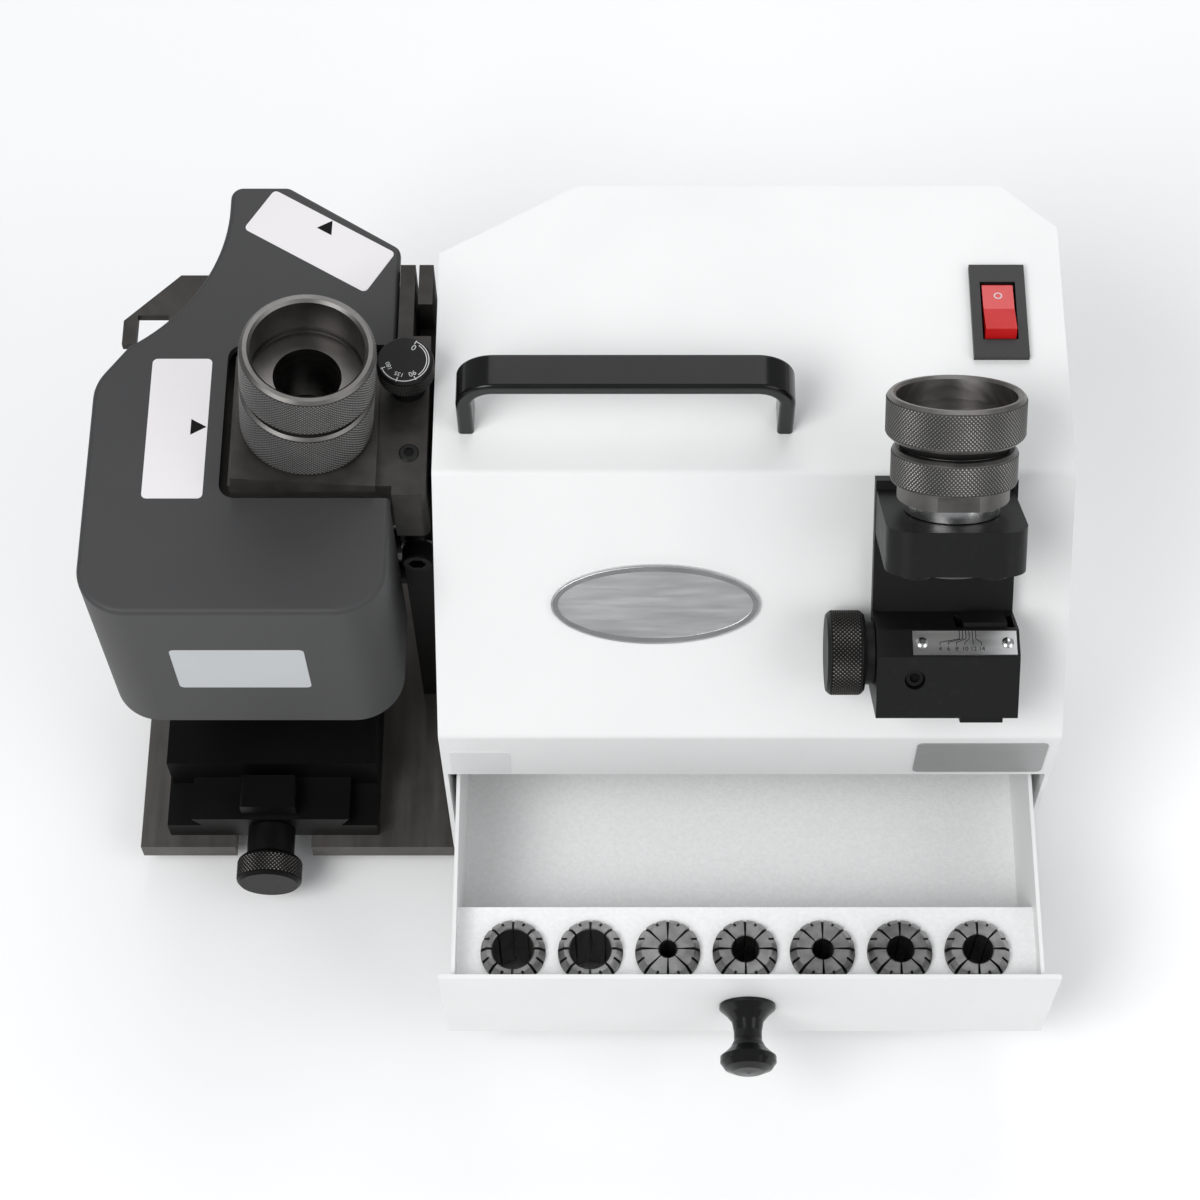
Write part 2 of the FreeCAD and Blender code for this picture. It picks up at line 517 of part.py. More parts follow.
def make_motor():
    upright = new_body("upright_plate")
    add(upright, "YZ_Plane", "upright_left", "upright_right",
        rectangle("upright_front", "base_thick", "upright_rear", "upright_top"))
    wide, high = "motor_bolt_circle * cos(motor_bolt_angle)", "motor_bolt_circle * sin(motor_bolt_angle)"
    bolts = [(f"shaft_y {a} {wide}", f"shaft_z {b} {high}") for a in "+-" for b in "+-"]
    holes = [(y, z, "motor_bolt_shank + thread_gap") for y, z in bolts]
    cut(upright, "YZ_Plane", "upright_left - overrun", "upright_right + overrun",
        circles=[("shaft_y", "shaft_z", "bearing_radius")] + holes)
    cut(upright, "XZ_Plane", "upright_front - overrun", "upright_front + clamp_shank_length + overrun",
        circles=[("clamp_x", "clamp_z", "clamp_shank + thread_gap")])
    place(upright)
    bell_end, can_end = "(upright_right + bell_length)", "(upright_right + bell_length + can_length)"
    bell = turned("motor_front_bell", tube(
        "shaft_radius + bell_bore_gap", "motor_radius", "0", "bell_length"))
    place(bell, "upright_right", "shaft_y", "shaft_z", ALONG_X)
    cut(bell, "XY_Plane", "-overrun", "bell_length - bell_floor", circles=[
        (f"{a}{high}", f"{b}{wide}", "motor_bolt_shank + thread_gap") for a in ("", "-") for b in ("", "-")])
    can = turned("motor_can", tube("stator_bore", "motor_radius", "0", "can_length"))
    place(can, bell_end, "shaft_y", "shaft_z", ALONG_X)
    tail = turned("motor_rear_bell", [
        ("bearing_radius", "0"), ("motor_radius", "0"), ("motor_radius", "bell_length - bell_chamfer"),
        ("motor_radius - bell_chamfer", "bell_length"), ("shaft_radius + bell_tail_gap", "bell_length"),
        ("shaft_radius + bell_tail_gap", "bearing_width"), ("bearing_radius", "bearing_width")])
    place(tail, can_end, "shaft_y", "shaft_z", ALONG_X)
    head_start = "upright_left - motor_bolt_head_length"
    screws = [fused(cylinder("motor_bolt_head", "motor_bolt_head_length", head_start, y, z, ALONG_X),
                    cylinder("motor_bolt_shank", "motor_bolt_length", "upright_left", y, z, ALONG_X))
              for y, z in bolts]
    place(group("motor_bolts", screws))
    bearings = []
    for start in ("upright_right - bearing_inset - bearing_width", can_end):
        outer = cylinder("bearing_radius", "bearing_width", start, "shaft_y", "shaft_z", ALONG_X)
        bore = cylinder("shaft_radius + run_gap", "bearing_width", start, "shaft_y", "shaft_z", ALONG_X)
        ring = doc.addObject("Part::Cut", "bearing_ring")
        ring.Base = outer
        ring.Tool = bore
        bearings.append(ring)
    place(group("spindle_bearings", bearings))
    capacitor = turned("run_capacitor", [
        ("0", "0"), ("capacitor_radius", "0"), ("capacitor_radius", "capacitor_length - capacitor_chamfer"),
        ("capacitor_radius - capacitor_chamfer", "capacitor_length"), ("0", "capacitor_length")])
    place(capacitor, "capacitor_x", "case_rear - wall - capacitor_radius", "capacitor_z", ALONG_X)
    start = "wheel_left - wheel_nut_width"
    shaft = turned("motor_shaft", [
        ("0", start), ("shaft_radius", start), ("shaft_radius", "wheel_left + wheel_width"),
        ("wheel_flange_radius", "wheel_left + wheel_width"),
        ("wheel_flange_radius", "wheel_left + wheel_width + wheel_flange_width"),
        ("shaft_radius", "wheel_left + wheel_width + wheel_flange_width"),
        ("shaft_radius", f"{can_end} + bearing_width + shaft_tail"),
        ("0", f"{can_end} + bearing_width + shaft_tail")])
    rotor = turned("motor_rotor", tube(
        "shaft_radius", "rotor_radius", f"{bell_end} + rotor_inset", f"{can_end} - rotor_inset"))
    wheel_right = "wheel_left + wheel_width"
    core = turned("wheel_core", tube("shaft_radius", "wheel_core_radius", "wheel_left", wheel_right))
    rim = turned("wheel_rim", tube("wheel_core_radius", "wheel_radius", "wheel_left", wheel_right))
    nut = new_body("wheel_nut")
    add(nut, "XY_Plane", start, "wheel_left", hexagon("wheel_nut_across"))
    cut(nut, "XY_Plane", f"{start} - overrun", "wheel_left + overrun", circles=[("0", "0", "shaft_radius")])
    for piece in (shaft, rotor, core, rim, nut):
        place(piece, "0", "shaft_y", "shaft_z", ALONG_X)
    washer = turned("clamp_washer", tube("clamp_shank", "washer_radius", "0", "washer_thick"))
    place(washer, "clamp_x", "upright_front", "clamp_z", TO_FRONT)
    bolt = turned("clamp_bolt", [
        ("0", "-clamp_shank_length"), ("clamp_shank", "-clamp_shank_length"), ("clamp_shank", "washer_thick"),
        ("clamp_head", "washer_thick"), ("clamp_head", "washer_thick + clamp_head_length - clamp_chamfer"),
        ("clamp_head - clamp_chamfer", "washer_thick + clamp_head_length"),
        ("0", "washer_thick + clamp_head_length")])
    head_end = "washer_thick + clamp_head_length"
    cut(bolt, "XY_Plane", f"{head_end} - clamp_socket_depth", f"{head_end} + overrun",
        hexagon("clamp_socket_across"))
    place(bolt, "clamp_x", "upright_front", "clamp_z", TO_FRONT)


def make_slide():
    base = new_body("slide_base")
    add(base, "XZ_Plane", "slide_front", "slide_rear", [
        ("slide_left", "base_thick"), ("slide_right", "base_thick"), ("slide_right", "slide_step"),
        ("tail_right - tail_inset", "slide_step"), ("tail_right", "tail_top"), ("tail_left", "tail_top"),
        ("tail_left + tail_inset", "slide_step"), ("slide_left", "slide_step")])
    half = "feed_slot_width / 2"
    cut(base, "XY_Plane", "feed_slot_bottom", "tail_top + overrun", rectangle(
        f"feed_x - {half}", "feed_slot_front", f"feed_x + {half}", "feed_slot_rear"))
    cut(base, "XZ_Plane", "slide_front - overrun", "feed_slot_front + overrun",
        circles=[("feed_x", "feed_z", "feed_screw_radius + run_gap")])
    place(base)
    block = new_body("feed_bearing_block")
    add(block, "XY_Plane", "tail_top", "block_top", rectangle(
        "feed_x - block_width / 2", "block_front", "feed_x + block_width / 2", "block_front + block_length"))
    round_edges(block, "block_round", upright_at("y", [("feed_x - block_width / 2", "block_top"),
                                             ("feed_x + block_width / 2", "block_top")]))
    place(block)
    carriage = new_body("slide_carriage")
    under = "slide_step + slide_gap"
    add(carriage, "XZ_Plane", "carriage_front", "carriage_rear", [
        ("carriage_left", under), ("tail_left + tail_inset - slide_gap", under),
        ("tail_left - slide_gap", "tail_top + slide_gap"), ("tail_right + slide_gap", "tail_top + slide_gap"),
        ("tail_right - tail_inset + slide_gap", under), ("slide_right", under),
        ("slide_right", "carriage_top"), ("carriage_left", "carriage_top")])
    add(carriage, "XY_Plane", "feed_slot_bottom + feed_lug_gap", "tail_top + feed_lug_root", rectangle(
        f"feed_x - {half} + slide_gap", "feed_lug_front", f"feed_x + {half} - slide_gap",
        "feed_lug_front + feed_lug_length"))
    cut(carriage, "XZ_Plane", "feed_lug_front - overrun", "feed_lug_front + feed_lug_length + overrun",
        circles=[("feed_x", "feed_z", "feed_screw_radius + run_gap")])
    place(carriage)
    knob_rear = "feed_knob_front + feed_knob_length"
    collar_rear = "slide_front - lift_gap"
    bevel, screw_end = "feed_knob_chamfer", f"-({knob_rear}) + feed_screw_socket"
    knob = turned("feed_knob", [
        ("0", "-(feed_knob_front)"), (f"feed_knob_radius - {bevel}", "-(feed_knob_front)"),
        ("feed_knob_radius", f"-(feed_knob_front) - {bevel}"),
        ("feed_knob_radius", f"-({knob_rear}) + {bevel}"),
        (f"feed_knob_radius - {bevel}", f"-({knob_rear})"), ("feed_collar_radius", f"-({knob_rear})"),
        ("feed_collar_radius", f"-({collar_rear})"), ("feed_screw_radius", f"-({collar_rear})"),
        ("feed_screw_radius", screw_end), ("0", screw_end)][::-1])
    screw = turned("feed_screw", [
        ("0", "-feed_screw_rear"), ("feed_screw_radius", "-feed_screw_rear"),
        ("feed_screw_radius", screw_end), ("0", screw_end)])
    for piece in (knob, screw):
        place(piece, "feed_x", "0", "feed_z", TO_FRONT)


def make_bracket():
    column = new_body("holder_column")
    add(column, "XY_Plane", "carriage_top", "bracket_bottom",
        rectangle("column_left", "column_front", "column_right", "column_rear"))
    place(column)
    bracket = new_body("holder_bracket")
    add(bracket, "XY_Plane", "bracket_bottom", "bracket_top", [
        ("bracket_left", "bracket_front"), ("bracket_right", "bracket_front"),
        ("bracket_right", "strip_rear"), ("bracket_tail_right", "strip_rear"),
        ("bracket_tail_right", "bracket_rear"),
        ("bracket_tail_left", "bracket_rear"), ("hook_left", "hook_corner"), ("hook_left", "hook_front"),
        ("hook_throat", "hook_front"), ("hook_throat", "hook_rear"), ("hook_root", "hook_rear"),
        ("hook_root", "hook_front"), ("bracket_left", "hook_front")])
    cut(bracket, "XY_Plane", "bracket_bottom - overrun", "bracket_top - hook_thick", rectangle(
        "hook_left - overrun", "hook_front", "hook_root", "bracket_rear + overrun"))
    add(bracket, "XY_Plane", "bracket_top", "land_top",
        rectangle("land_left", "land_front", "bracket_right", "land_rear"))
    add(bracket, "XY_Plane", "bracket_bottom", "land_top",
        rectangle("strip_left", "strip_front", "bracket_right", "strip_rear"))
    half = "prong_slot / 2"
    cut(bracket, "XY_Plane", "bracket_bottom - overrun", "land_top + overrun", rectangle(
        f"prong_slot_x - {half}", "prong_slot_front", f"prong_slot_x + {half}", "strip_rear + overrun"))
    cut(bracket, "XY_Plane", "land_top - prong_pocket_depth", "land_top + overrun", rectangle(
        f"prong_slot_x - {half}", "prong_slot_front", "bracket_right + overrun", "prong_pocket_rear"))
    drop = "(holder_z - bracket_top)"
    cut(bracket, "XY_Plane", "bracket_bottom - overrun", "land_top + overrun", circles=[
        (f"holder_x - {drop} * tan(lean_right)", f"holder_y - {drop} * tan(lean_back)", "tool_hole_radius")])
    rests = [("rest_left", "rest_front"), ("rest_left", "rest_middle"), ("rest_tail_x", "rest_tail_y")]
    add(bracket, "XY_Plane", "bracket_top", "guard_top - guard_wall - lift_gap",
        circles=[(x, y, "guard_rest") for x, y in rests])
    round_edges(bracket, "bracket_corner", upright_at("z", [("bracket_right", "strip_front")]))
    place(bracket)
    block = doc.addObject("Part::Box", "pad_block")
    for prop, text in (("Length", "pad_side"), ("Width", "pad_side"), ("Height", "pad_depth")):
        bind(block, prop, text)
    half = number("pad_side / 2")
    corner = LEAN.multVec(FreeCAD.Vector(-half, -half, -number("pad_depth")))
    centre = ("holder_x", "holder_y", "holder_z")
    block.Placement = FreeCAD.Placement(FreeCAD.Vector(), LEAN)
    for axis, start, shift in zip("xyz", centre, corner):
        bind(block, f"Placement.Base.{axis}", f"{start} + ({shift})")
    below = doc.addObject("Part::Box", "pad_floor")
    for prop, text in (("Length", "2 * pad_side"), ("Width", "2 * pad_side"), ("Height", "land_top")):
        bind(below, prop, text)
    bind(below, "Placement.Base.x", "holder_x - pad_side")
    bind(below, "Placement.Base.y", "holder_y - pad_side")
    foot = LEAN.multVec(FreeCAD.Vector(0, 0, -number("2 * pad_depth")))
    hole = cylinder("holder_bore", "4 * pad_depth", *[
        f"{start} + ({shift})" for start, shift in zip(centre, foot)], rotation=LEAN)
    trimmed = doc.addObject("Part::Cut", "pad_trimmed")
    trimmed.Base = block
    trimmed.Tool = below
    pad = node("holder_pad", doc.addObject("Part::Cut", "holder_pad"))
    pad.Base = trimmed
    pad.Tool = hole
    place(pad)
    seat = turned("holder_seat", tube("holder_bore", "seat_radius", "0", "seat_height"))
    bore, edge = "seat_radius + run_gap", "ring_chamfer"
    lock = turned("lock_ring", [
        (bore, "lock_ring_bottom"), (f"ring_radius - {edge}", "lock_ring_bottom"),
        ("ring_radius", f"lock_ring_bottom + {edge}"), ("ring_radius", f"lock_ring_top - {edge}"),
        (f"ring_radius - {edge}", "lock_ring_top"), (bore, "lock_ring_top")])
    socket = turned("socket_ring", [
        (bore, "socket_ring_bottom"), (f"ring_radius - {edge}", "socket_ring_bottom"),
        ("ring_radius", f"socket_ring_bottom + {edge}"), ("ring_radius", f"socket_ring_top - {edge}"),
        (f"ring_radius - {edge}", "socket_ring_top"), (f"socket_bore + {edge}", "socket_ring_top"),
        ("socket_bore", f"socket_ring_top - {edge}"), ("socket_bore", "seat_height + socket_step"),
        ("socket_undercut", "seat_height + socket_step"), ("socket_undercut", "seat_height + socket_clear"),
        (bore, "seat_height + socket_clear")])
    for piece in (seat, lock, socket):
        place(piece, "holder_x", "holder_y", "holder_z", LEAN)
    rear = new_body("rear_holder")
    half = "rear_holder_side / 2"
    add(rear, "XZ_Plane", "rear_holder_front", "rear_holder_front + rear_holder_length", rectangle(
        f"rear_holder_x - {half}", f"rear_holder_z - {half}", f"rear_holder_x + {half}", "bracket_bottom"))
    flange_rear = "rear_holder_front + rear_holder_length + rear_flange_length"
    add(rear, "XZ_Plane", "rear_holder_front + rear_holder_length - overrun", flange_rear,
        circles=[("rear_holder_x", "rear_holder_z", "rear_flange_radius")])
    cut(rear, "XZ_Plane", "rear_holder_front - overrun", f"{flange_rear} + overrun",
        circles=[("rear_holder_x", "rear_holder_z", "rear_bore")])
    place(rear)
    neck = "lift_gap + dial_stem_height"
    crown = f"{neck} + dial_head_height"
    dial = turned("angle_dial", [
        ("0", "lift_gap"), ("dial_stem", "lift_gap"), ("dial_stem + dial_flare", neck),
        ("dial_radius - dial_round", neck), ("dial_radius", f"{neck} + dial_round"),
        ("dial_radius", f"{crown} - dial_crown"), ("dial_radius - dial_crown", crown), ("0", crown)])
    place(dial, "dial_x", "dial_y", "land_top")


def make_guard():
    guard = new_body("wheel_guard")
    outline = [
        ("guard_right", "guard_front"), ("guard_right", "guard_chamfer_y"), ("guard_tail_x", "guard_rear"),
        ("scoop_end_x", "guard_rear"), ("scoop_end_x", "scoop_end_y"), ("scoop_start_x", "scoop_start_y"),
        ("guard_left", "guard_shoulder_y"), ("guard_left", "guard_front")]
    add(guard, "XY_Plane", "guard_bottom", "guard_top", outline, arcs={4: ("scoop_radius", 1)})
    round_edges(guard, "guard_corner", upright_at("z", [
        ("guard_left", "guard_front"), ("guard_right", "guard_front"), ("guard_left", "guard_shoulder_y")]))
    floor = number("guard_bottom")
    base = guard.Tip
    under = [f"Face{i}" for i, face in enumerate(base.Shape.Faces, 1) if face.BoundBox.ZMax < floor + 1e-3]
    shell = guard.newObject("PartDesign::Thickness", "guard_shell")
    shell.Base = (base, under)
    bind(shell, "Value", "guard_wall")
    shell.Reversed = True
    shell.Join = "Intersection"
    round_edges(guard, "guard_tail_corner", upright_at("z", [
        ("scoop_end_x", "guard_rear"), ("guard_tail_x", "guard_rear"), ("guard_right", "guard_chamfer_y")]))
    crest = number("guard_top")
    round_edges(guard, "guard_edge", lambda edge: edge.BoundBox.ZMin > crest - 1e-3)
    cut(guard, "XY_Plane", "guard_top - guard_wall - overrun", "guard_top + overrun", rectangle(
        "window_left", "window_front", "guard_right + overrun", "window_rear"))
    round_edges(guard, "window_corner", upright_at("z", [
        ("window_left", "window_front"), ("window_left", "window_rear")]))
    cut(guard, "XY_Plane", "guard_bottom - overrun", "guard_top - guard_wall", rectangle(
        "guard_right - 2 * guard_wall", "window_front - side_cut_front", "guard_right + overrun",
        "guard_chamfer_y + side_cut_rear"))
    cut(guard, "XY_Plane", "guard_bottom - overrun", "guard_lip", rectangle(
        "guard_left - overrun", "guard_skirt_rear", "guard_right + overrun", "guard_rear + overrun"))
    place(guard)


def make_drawer():
    tray = new_body("drawer_tray")
    rear = f"{TRAY_FRONT} + tray_depth"
    add(tray, "XY_Plane", "tray_bottom", "tray_top", rectangle("tray_left", TRAY_FRONT, "tray_right", rear))
    inner = ("tray_left + tray_wall", f"{TRAY_FRONT} + tray_wall", "tray_right - tray_wall",
             f"{rear} - tray_wall")
    cut(tray, "XY_Plane", "tray_bottom + tray_wall", "tray_top + overrun", rectangle(*inner))
    place(tray)
    face = new_body("drawer_front")
    add(face, "XZ_Plane", DRAWER_FACE, TRAY_FRONT, rectangle(
        "case_left + front_margin", "front_bottom", "case_right - front_margin", "front_top"))
    place(face)
    floor = "tray_bottom + tray_wall"
    rack_rear = f"{TRAY_FRONT} + tray_wall + rack_depth"
    rack = new_body("collet_rack")
    add(rack, "XY_Plane", floor, "rack_top", rectangle(inner[0], inner[1], inner[2], rack_rear))
    spots = [(f"collet_first_x + {i} * collet_pitch", f"{TRAY_FRONT} + collet_inset")
             for i in range(len(COLLET_BORES))]
    cut(rack, "XY_Plane", "rack_floor", "rack_top + overrun",
        circles=[(x, y, "rack_pocket") for x, y in spots])
    place(rack)
    liner = new_body("drawer_liner")
    add(liner, "XY_Plane", floor, "liner_top", rectangle(inner[0], rack_rear, inner[2], inner[3]))
    place(liner)
    collets = []
    for i, ((x, y), bore) in enumerate(zip(spots, COLLET_BORES), 1):
        low, high = "collet_top - collet_length", "collet_top"
        shoulder = f"{high} - collet_shoulder"
        groove = f"{high} - collet_groove"
        waist = "collet_radius - collet_groove_depth"
        body = doc.addObject("PartDesign::Body", f"collet_{i}")
        turned(f"collet_{i}", [
            (bore / 2, low), (f"max(collet_tail; {bore / 2} + collet_tail_wall)", low),
            ("collet_radius", f"{groove} - collet_groove_width - collet_taper"),
            ("collet_radius", f"{groove} - collet_groove_width"), (waist, f"{groove} - collet_groove_width"),
            (waist, groove), ("collet_radius", groove), ("collet_radius", shoulder), ("collet_nose", high),
            (bore / 2, high)], body)
        for axis, text in zip("xyz", (x, y, "0")):
            bind(body, f"Placement.Base.{axis}", text)
        collets.append(body)
    place(group("collets", collets))
    knob = turned("drawer_knob", KNOB_PROFILE)
    place(knob, "knob_x", DRAWER_FACE, "knob_z", TO_FRONT)


def make_setter():
    plate = new_body("setter_back_plate")
    add(plate, "XY_Plane", "0", "back_plate_thick",
        rectangle("setter_left", "setter_shoulder", "setter_right", "back_plate_top"))
    block = new_body("setter_block")
    facet = "setter_shoulder - setter_step"
    add(block, "YZ_Plane", "setter_left", "setter_right", [
        ("setter_base", "0"), ("setter_shoulder", "0"), ("setter_shoulder", f"setter_depth - ({facet})"),
        ("setter_step", "setter_depth"), ("setter_base", "setter_depth")])
    reach = "bar_travel + bar_gap"
    cut(block, "XZ_Plane", "setter_base - overrun", "setter_shoulder + overrun", rectangle(
        f"bar_left - ({reach})", "bar_back - bar_gap", f"bar_right + ({reach})", "bar_front + bar_gap"))
    cut(block, "YZ_Plane", "setter_left - overrun", "bar_left",
        circles=[("adjust_along", "adjust_out", "adjust_stem + run_gap")])
    cut(block, "XY_Plane", "setter_depth - grub_depth", "setter_depth + overrun",
        circles=[("grub_x", "grub_along", "grub_radius")])
    seat = new_body("setter_seat")
    add(seat, "XZ_Plane", "seat_base", "seat_top",
        rectangle("seat_left", "back_plate_thick", "seat_right", "seat_front"))
    round_edges(seat, "seat_corner", upright_at(
        "y", [("seat_left", "seat_front"), ("seat_right", "seat_front")]))
    screws = [(x, "seat_screw_out") for x in ("seat_screw_left", "seat_screw_right")]
    cut(seat, "XZ_Plane", "seat_base - overrun", "seat_top + overrun",
        circles=[("chuck_x", "chuck_out", "chuck_shank + seat_gap")])
    cut(seat, "XZ_Plane", "seat_base - overrun", "seat_base + seat_screw_length + seat_screw_relief",
        circles=[(x, out, "seat_screw_shank + thread_gap") for x, out in screws])
    head_start = "seat_base - seat_screw_head_length"
    heads = [fused(cylinder("seat_screw_head", "seat_screw_head_length", x, head_start, out, ALONG_Y),
                   cylinder("seat_screw_shank", "seat_screw_length", x, "seat_base", out, ALONG_Y))
             for x, out in screws]
    bar = new_body("setting_bar")
    add(bar, "XY_Plane", "bar_back", "bar_front", rectangle("bar_left", "bar_bottom", "bar_right", "bar_top"))
    cut(bar, "YZ_Plane", "bar_left - overrun", "bar_right + overrun",
        circles=[("adjust_along", "adjust_out", "adjust_thread + run_gap")])
    for piece in (plate, block, seat, group("seat_screws", heads), bar):
        place_on_slope(piece)
    scale = new_body("scale_plate")
    add(scale, "XY_Plane", "0", "scale_thick",
        rectangle("scale_left", "-scale_width / 2", "scale_left + scale_length", "scale_width / 2"))
    place_on_slope(scale, "0", f"(setter_step + ({facet}) / 2)", f"setter_depth - ({facet}) / 2",
                   turn=SCALE_TURN)
    face = "setter_left - lift_gap"
    collar = f"{face} - adjust_collar_length"
    start = f"{collar} - adjust_knob_length"
    bevel, stem_end = "adjust_chamfer", "bar_left - bar_travel - bar_gap"
    knob = turned("setting_knob", [
        ("0", start), (f"adjust_knob - {bevel}", start), ("adjust_knob", f"{start} + {bevel}"),
        ("adjust_knob", f"{collar} - {bevel}"), (f"adjust_knob - {bevel}", collar), ("adjust_collar", collar),
        ("adjust_collar", face), ("adjust_stem", face), ("adjust_stem", stem_end),
        ("adjust_thread", stem_end), ("adjust_thread", "adjust_tip"), ("0", "adjust_tip")])
    place_on_slope(knob, "0", "adjust_along", "adjust_out")
    knob.Placement = FreeCAD.Placement(knob.Placement.Base, about_x(number("slope_angle")).multiply(ALONG_X))
    bevel, groove_end = "chuck_chamfer", "nut_top + lift_gap"
    body = turned("chuck_body", [
        ("0", "chuck_tip"), ("chuck_shank - chuck_nose", "chuck_tip"),
        ("chuck_shank", "chuck_tip + chuck_nose"), ("chuck_shank", "seat_top"), ("chuck_neck", "seat_top"),
        ("chuck_neck", groove_end), ("groove_radius", groove_end), ("groove_radius", "crown_base"),
        (f"crown_radius - {bevel}", "crown_base"),
        ("crown_radius", f"crown_base + {bevel}"), ("crown_radius", f"crown_top - {bevel}"),
        (f"crown_radius - {bevel}", "crown_top"), ("dish_radius + dish_lip", "crown_top"),
        ("dish_radius", "crown_top - dish_lip"), ("dish_radius - dish_taper", "crown_top - dish_depth"),
        ("0", "crown_top - dish_depth - dish_cone")])
    collar = turned("chuck_collar", tube("chuck_neck", "chuck_collar", "seat_top + lift_gap", "collar_top"))
    nut = turned("chuck_nut", [
        ("chuck_neck + run_gap", "nut_base"), ("nut_band", "nut_base"), ("nut_band", "nut_band_top"),
        ("nut_radius", "nut_band_top + nut_step"), ("nut_radius", f"nut_top - {bevel}"),
        (f"nut_radius - {bevel}", "nut_top"), ("chuck_neck + run_gap", "nut_top")])
    for low, high in (("nut_flat", "nut_radius + overrun"), ("-nut_radius - overrun", "-nut_flat")):
        cut(nut, "XY_Plane", "nut_base - overrun", "nut_band_top",
            rectangle("-nut_radius", low, "nut_radius", high))
    for piece in (body, collar, nut):
        place_on_slope(piece, "chuck_x", "0", "chuck_out", turn=-90)


for make in (make_base, make_case, make_handle, make_switch, make_motor, make_slide, make_bracket, make_guard,
             make_drawer, make_setter):
    make()
doc.recompute()

for thing in doc.Objects:
    if "Invalid" in thing.State or "Error" in thing.State:
        raise ValueError(f"{thing.Label} failed: {thing.State}")
os.makedirs("parts", exist_ok=True)
for label, thing in NODES.items():
    shape = thing.Shape
    if shape.isNull() or not shape.isValid() or not shape.Solids:
        raise ValueError(f"{label} has no valid solid")
for label, thing in NODES.items():
    thing.Shape.exportStep(f"parts/{label}.step")
box = Part.makeCompound([thing.Shape for thing in NODES.values()]).BoundBox
print(len(NODES), "nodes in", box)
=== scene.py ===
import math

import bmesh
import bpy
from mathutils import Matrix, Vector


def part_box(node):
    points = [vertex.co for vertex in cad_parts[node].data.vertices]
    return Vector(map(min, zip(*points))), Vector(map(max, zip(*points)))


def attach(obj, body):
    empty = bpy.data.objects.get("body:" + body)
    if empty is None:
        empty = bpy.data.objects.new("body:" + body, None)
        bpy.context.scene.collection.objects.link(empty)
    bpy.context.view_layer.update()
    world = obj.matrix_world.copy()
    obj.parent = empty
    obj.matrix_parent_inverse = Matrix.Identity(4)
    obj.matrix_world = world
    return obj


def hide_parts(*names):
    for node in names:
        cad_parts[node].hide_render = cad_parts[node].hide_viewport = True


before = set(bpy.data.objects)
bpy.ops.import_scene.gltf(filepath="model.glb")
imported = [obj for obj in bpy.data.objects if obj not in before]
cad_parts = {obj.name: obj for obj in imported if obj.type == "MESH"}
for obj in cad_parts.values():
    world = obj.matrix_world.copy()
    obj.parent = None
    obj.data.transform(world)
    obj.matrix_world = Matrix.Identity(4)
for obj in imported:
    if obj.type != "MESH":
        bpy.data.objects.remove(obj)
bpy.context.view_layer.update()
mm = 0.001
fullTurn = 2 * math.pi
mergeGap = 1e-6
inkThick = 0.05   # of printed lines and marks, in millimetres


def turned(angle, axis):
    return Matrix.Rotation(math.radians(angle), 4, axis)


def moved(x, y, z):
    return Matrix.Translation(Vector((x, y, z)) * mm)


# the drawing's zero (front of the case, underside of the base) in the shared frame
baseLeft = 171.3   # from the left edge of the base to that zero
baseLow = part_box("base_plate")[0]
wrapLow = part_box("case_wrap")[0]
zero = Vector((baseLow.x + baseLeft * mm, wrapLow.y, baseLow.z))


def spot(x, y, z):
    return Matrix.Translation(zero + Vector((x, y, z)) * mm)


slopeSettings = {"foot": 102.3, "angle": 46.68}
slopeFrame = spot(0, 0, slopeSettings["foot"]) @ turned(slopeSettings["angle"], "X")


def onSlope(x, along, out):
    return slopeFrame @ moved(x, along, out)


class Value:
    def __init__(self, finish, socket):
        self.finish = finish
        self.socket = socket

    def calc(self, operation, first, second):
        return self.finish.node("ShaderNodeMath", {"operation": operation}, {0: first, 1: second})

    def __add__(self, other):
        return self.calc("ADD", self, other)

    def __radd__(self, other):
        return self.calc("ADD", other, self)

    def __sub__(self, other):
        return self.calc("SUBTRACT", self, other)

    def __rsub__(self, other):
        return self.calc("SUBTRACT", other, self)

    def __mul__(self, other):
        return self.calc("MULTIPLY", self, other)

    def __rmul__(self, other):
        return self.calc("MULTIPLY", other, self)


class Finish:
    def __init__(self, name):
        self.material = bpy.data.materials.new(name)
        self.material.use_nodes = True
        self.tree = self.material.node_tree
        self.shader = next(n for n in self.tree.nodes if n.type == "BSDF_PRINCIPLED")
        self.coords = self.node("ShaderNodeTexCoord", output="Object")

    def feed(self, target, value):
        if isinstance(value, Value):
            self.tree.links.new(value.socket, target)
        else:
            target.default_value = value

    def node(self, kind, settings=None, inputs=None, output=0):
        made = self.tree.nodes.new(kind)
        for key, value in (settings or {}).items():
            setattr(made, key, value)
        for key, value in (inputs or {}).items():
            self.feed(made.inputs[key], value)
        return Value(self, made.outputs[output])

    def noise(self, scale, detail, stretch=(1, 1, 1)):
        vector = self.coords
        if stretch != (1, 1, 1):
            vector = self.node("ShaderNodeMapping", None, {"Vector": vector, "Scale": stretch})
        return self.node("ShaderNodeTexNoise", None, {"Vector": vector, "Scale": scale, "Detail": detail})

    def mix(self, factor, first, second):
        return self.node("ShaderNodeMix", {"data_type": "RGBA"}, {0: factor, 6: first, 7: second}, 2)

    def spread(self, value, low, high, toLow=0, toHigh=1):
        return self.node("ShaderNodeMapRange", None, {0: value, 1: low, 2: high, 3: toLow, 4: toHigh})

    def bump(self, height, strength, distance):
        return self.node("ShaderNodeBump", None,
                         {"Height": height, "Strength": strength, "Distance": distance * mm})

    def give(self, **inputs):
        for key, value in inputs.items():
            self.feed(self.shader.inputs[key.replace("_", " ")], value)
        return self.material


def grey(value, warm=0):   # warm leans it from blue to red
    return (value * (1 + warm), value, value * (1 - warm), 1)


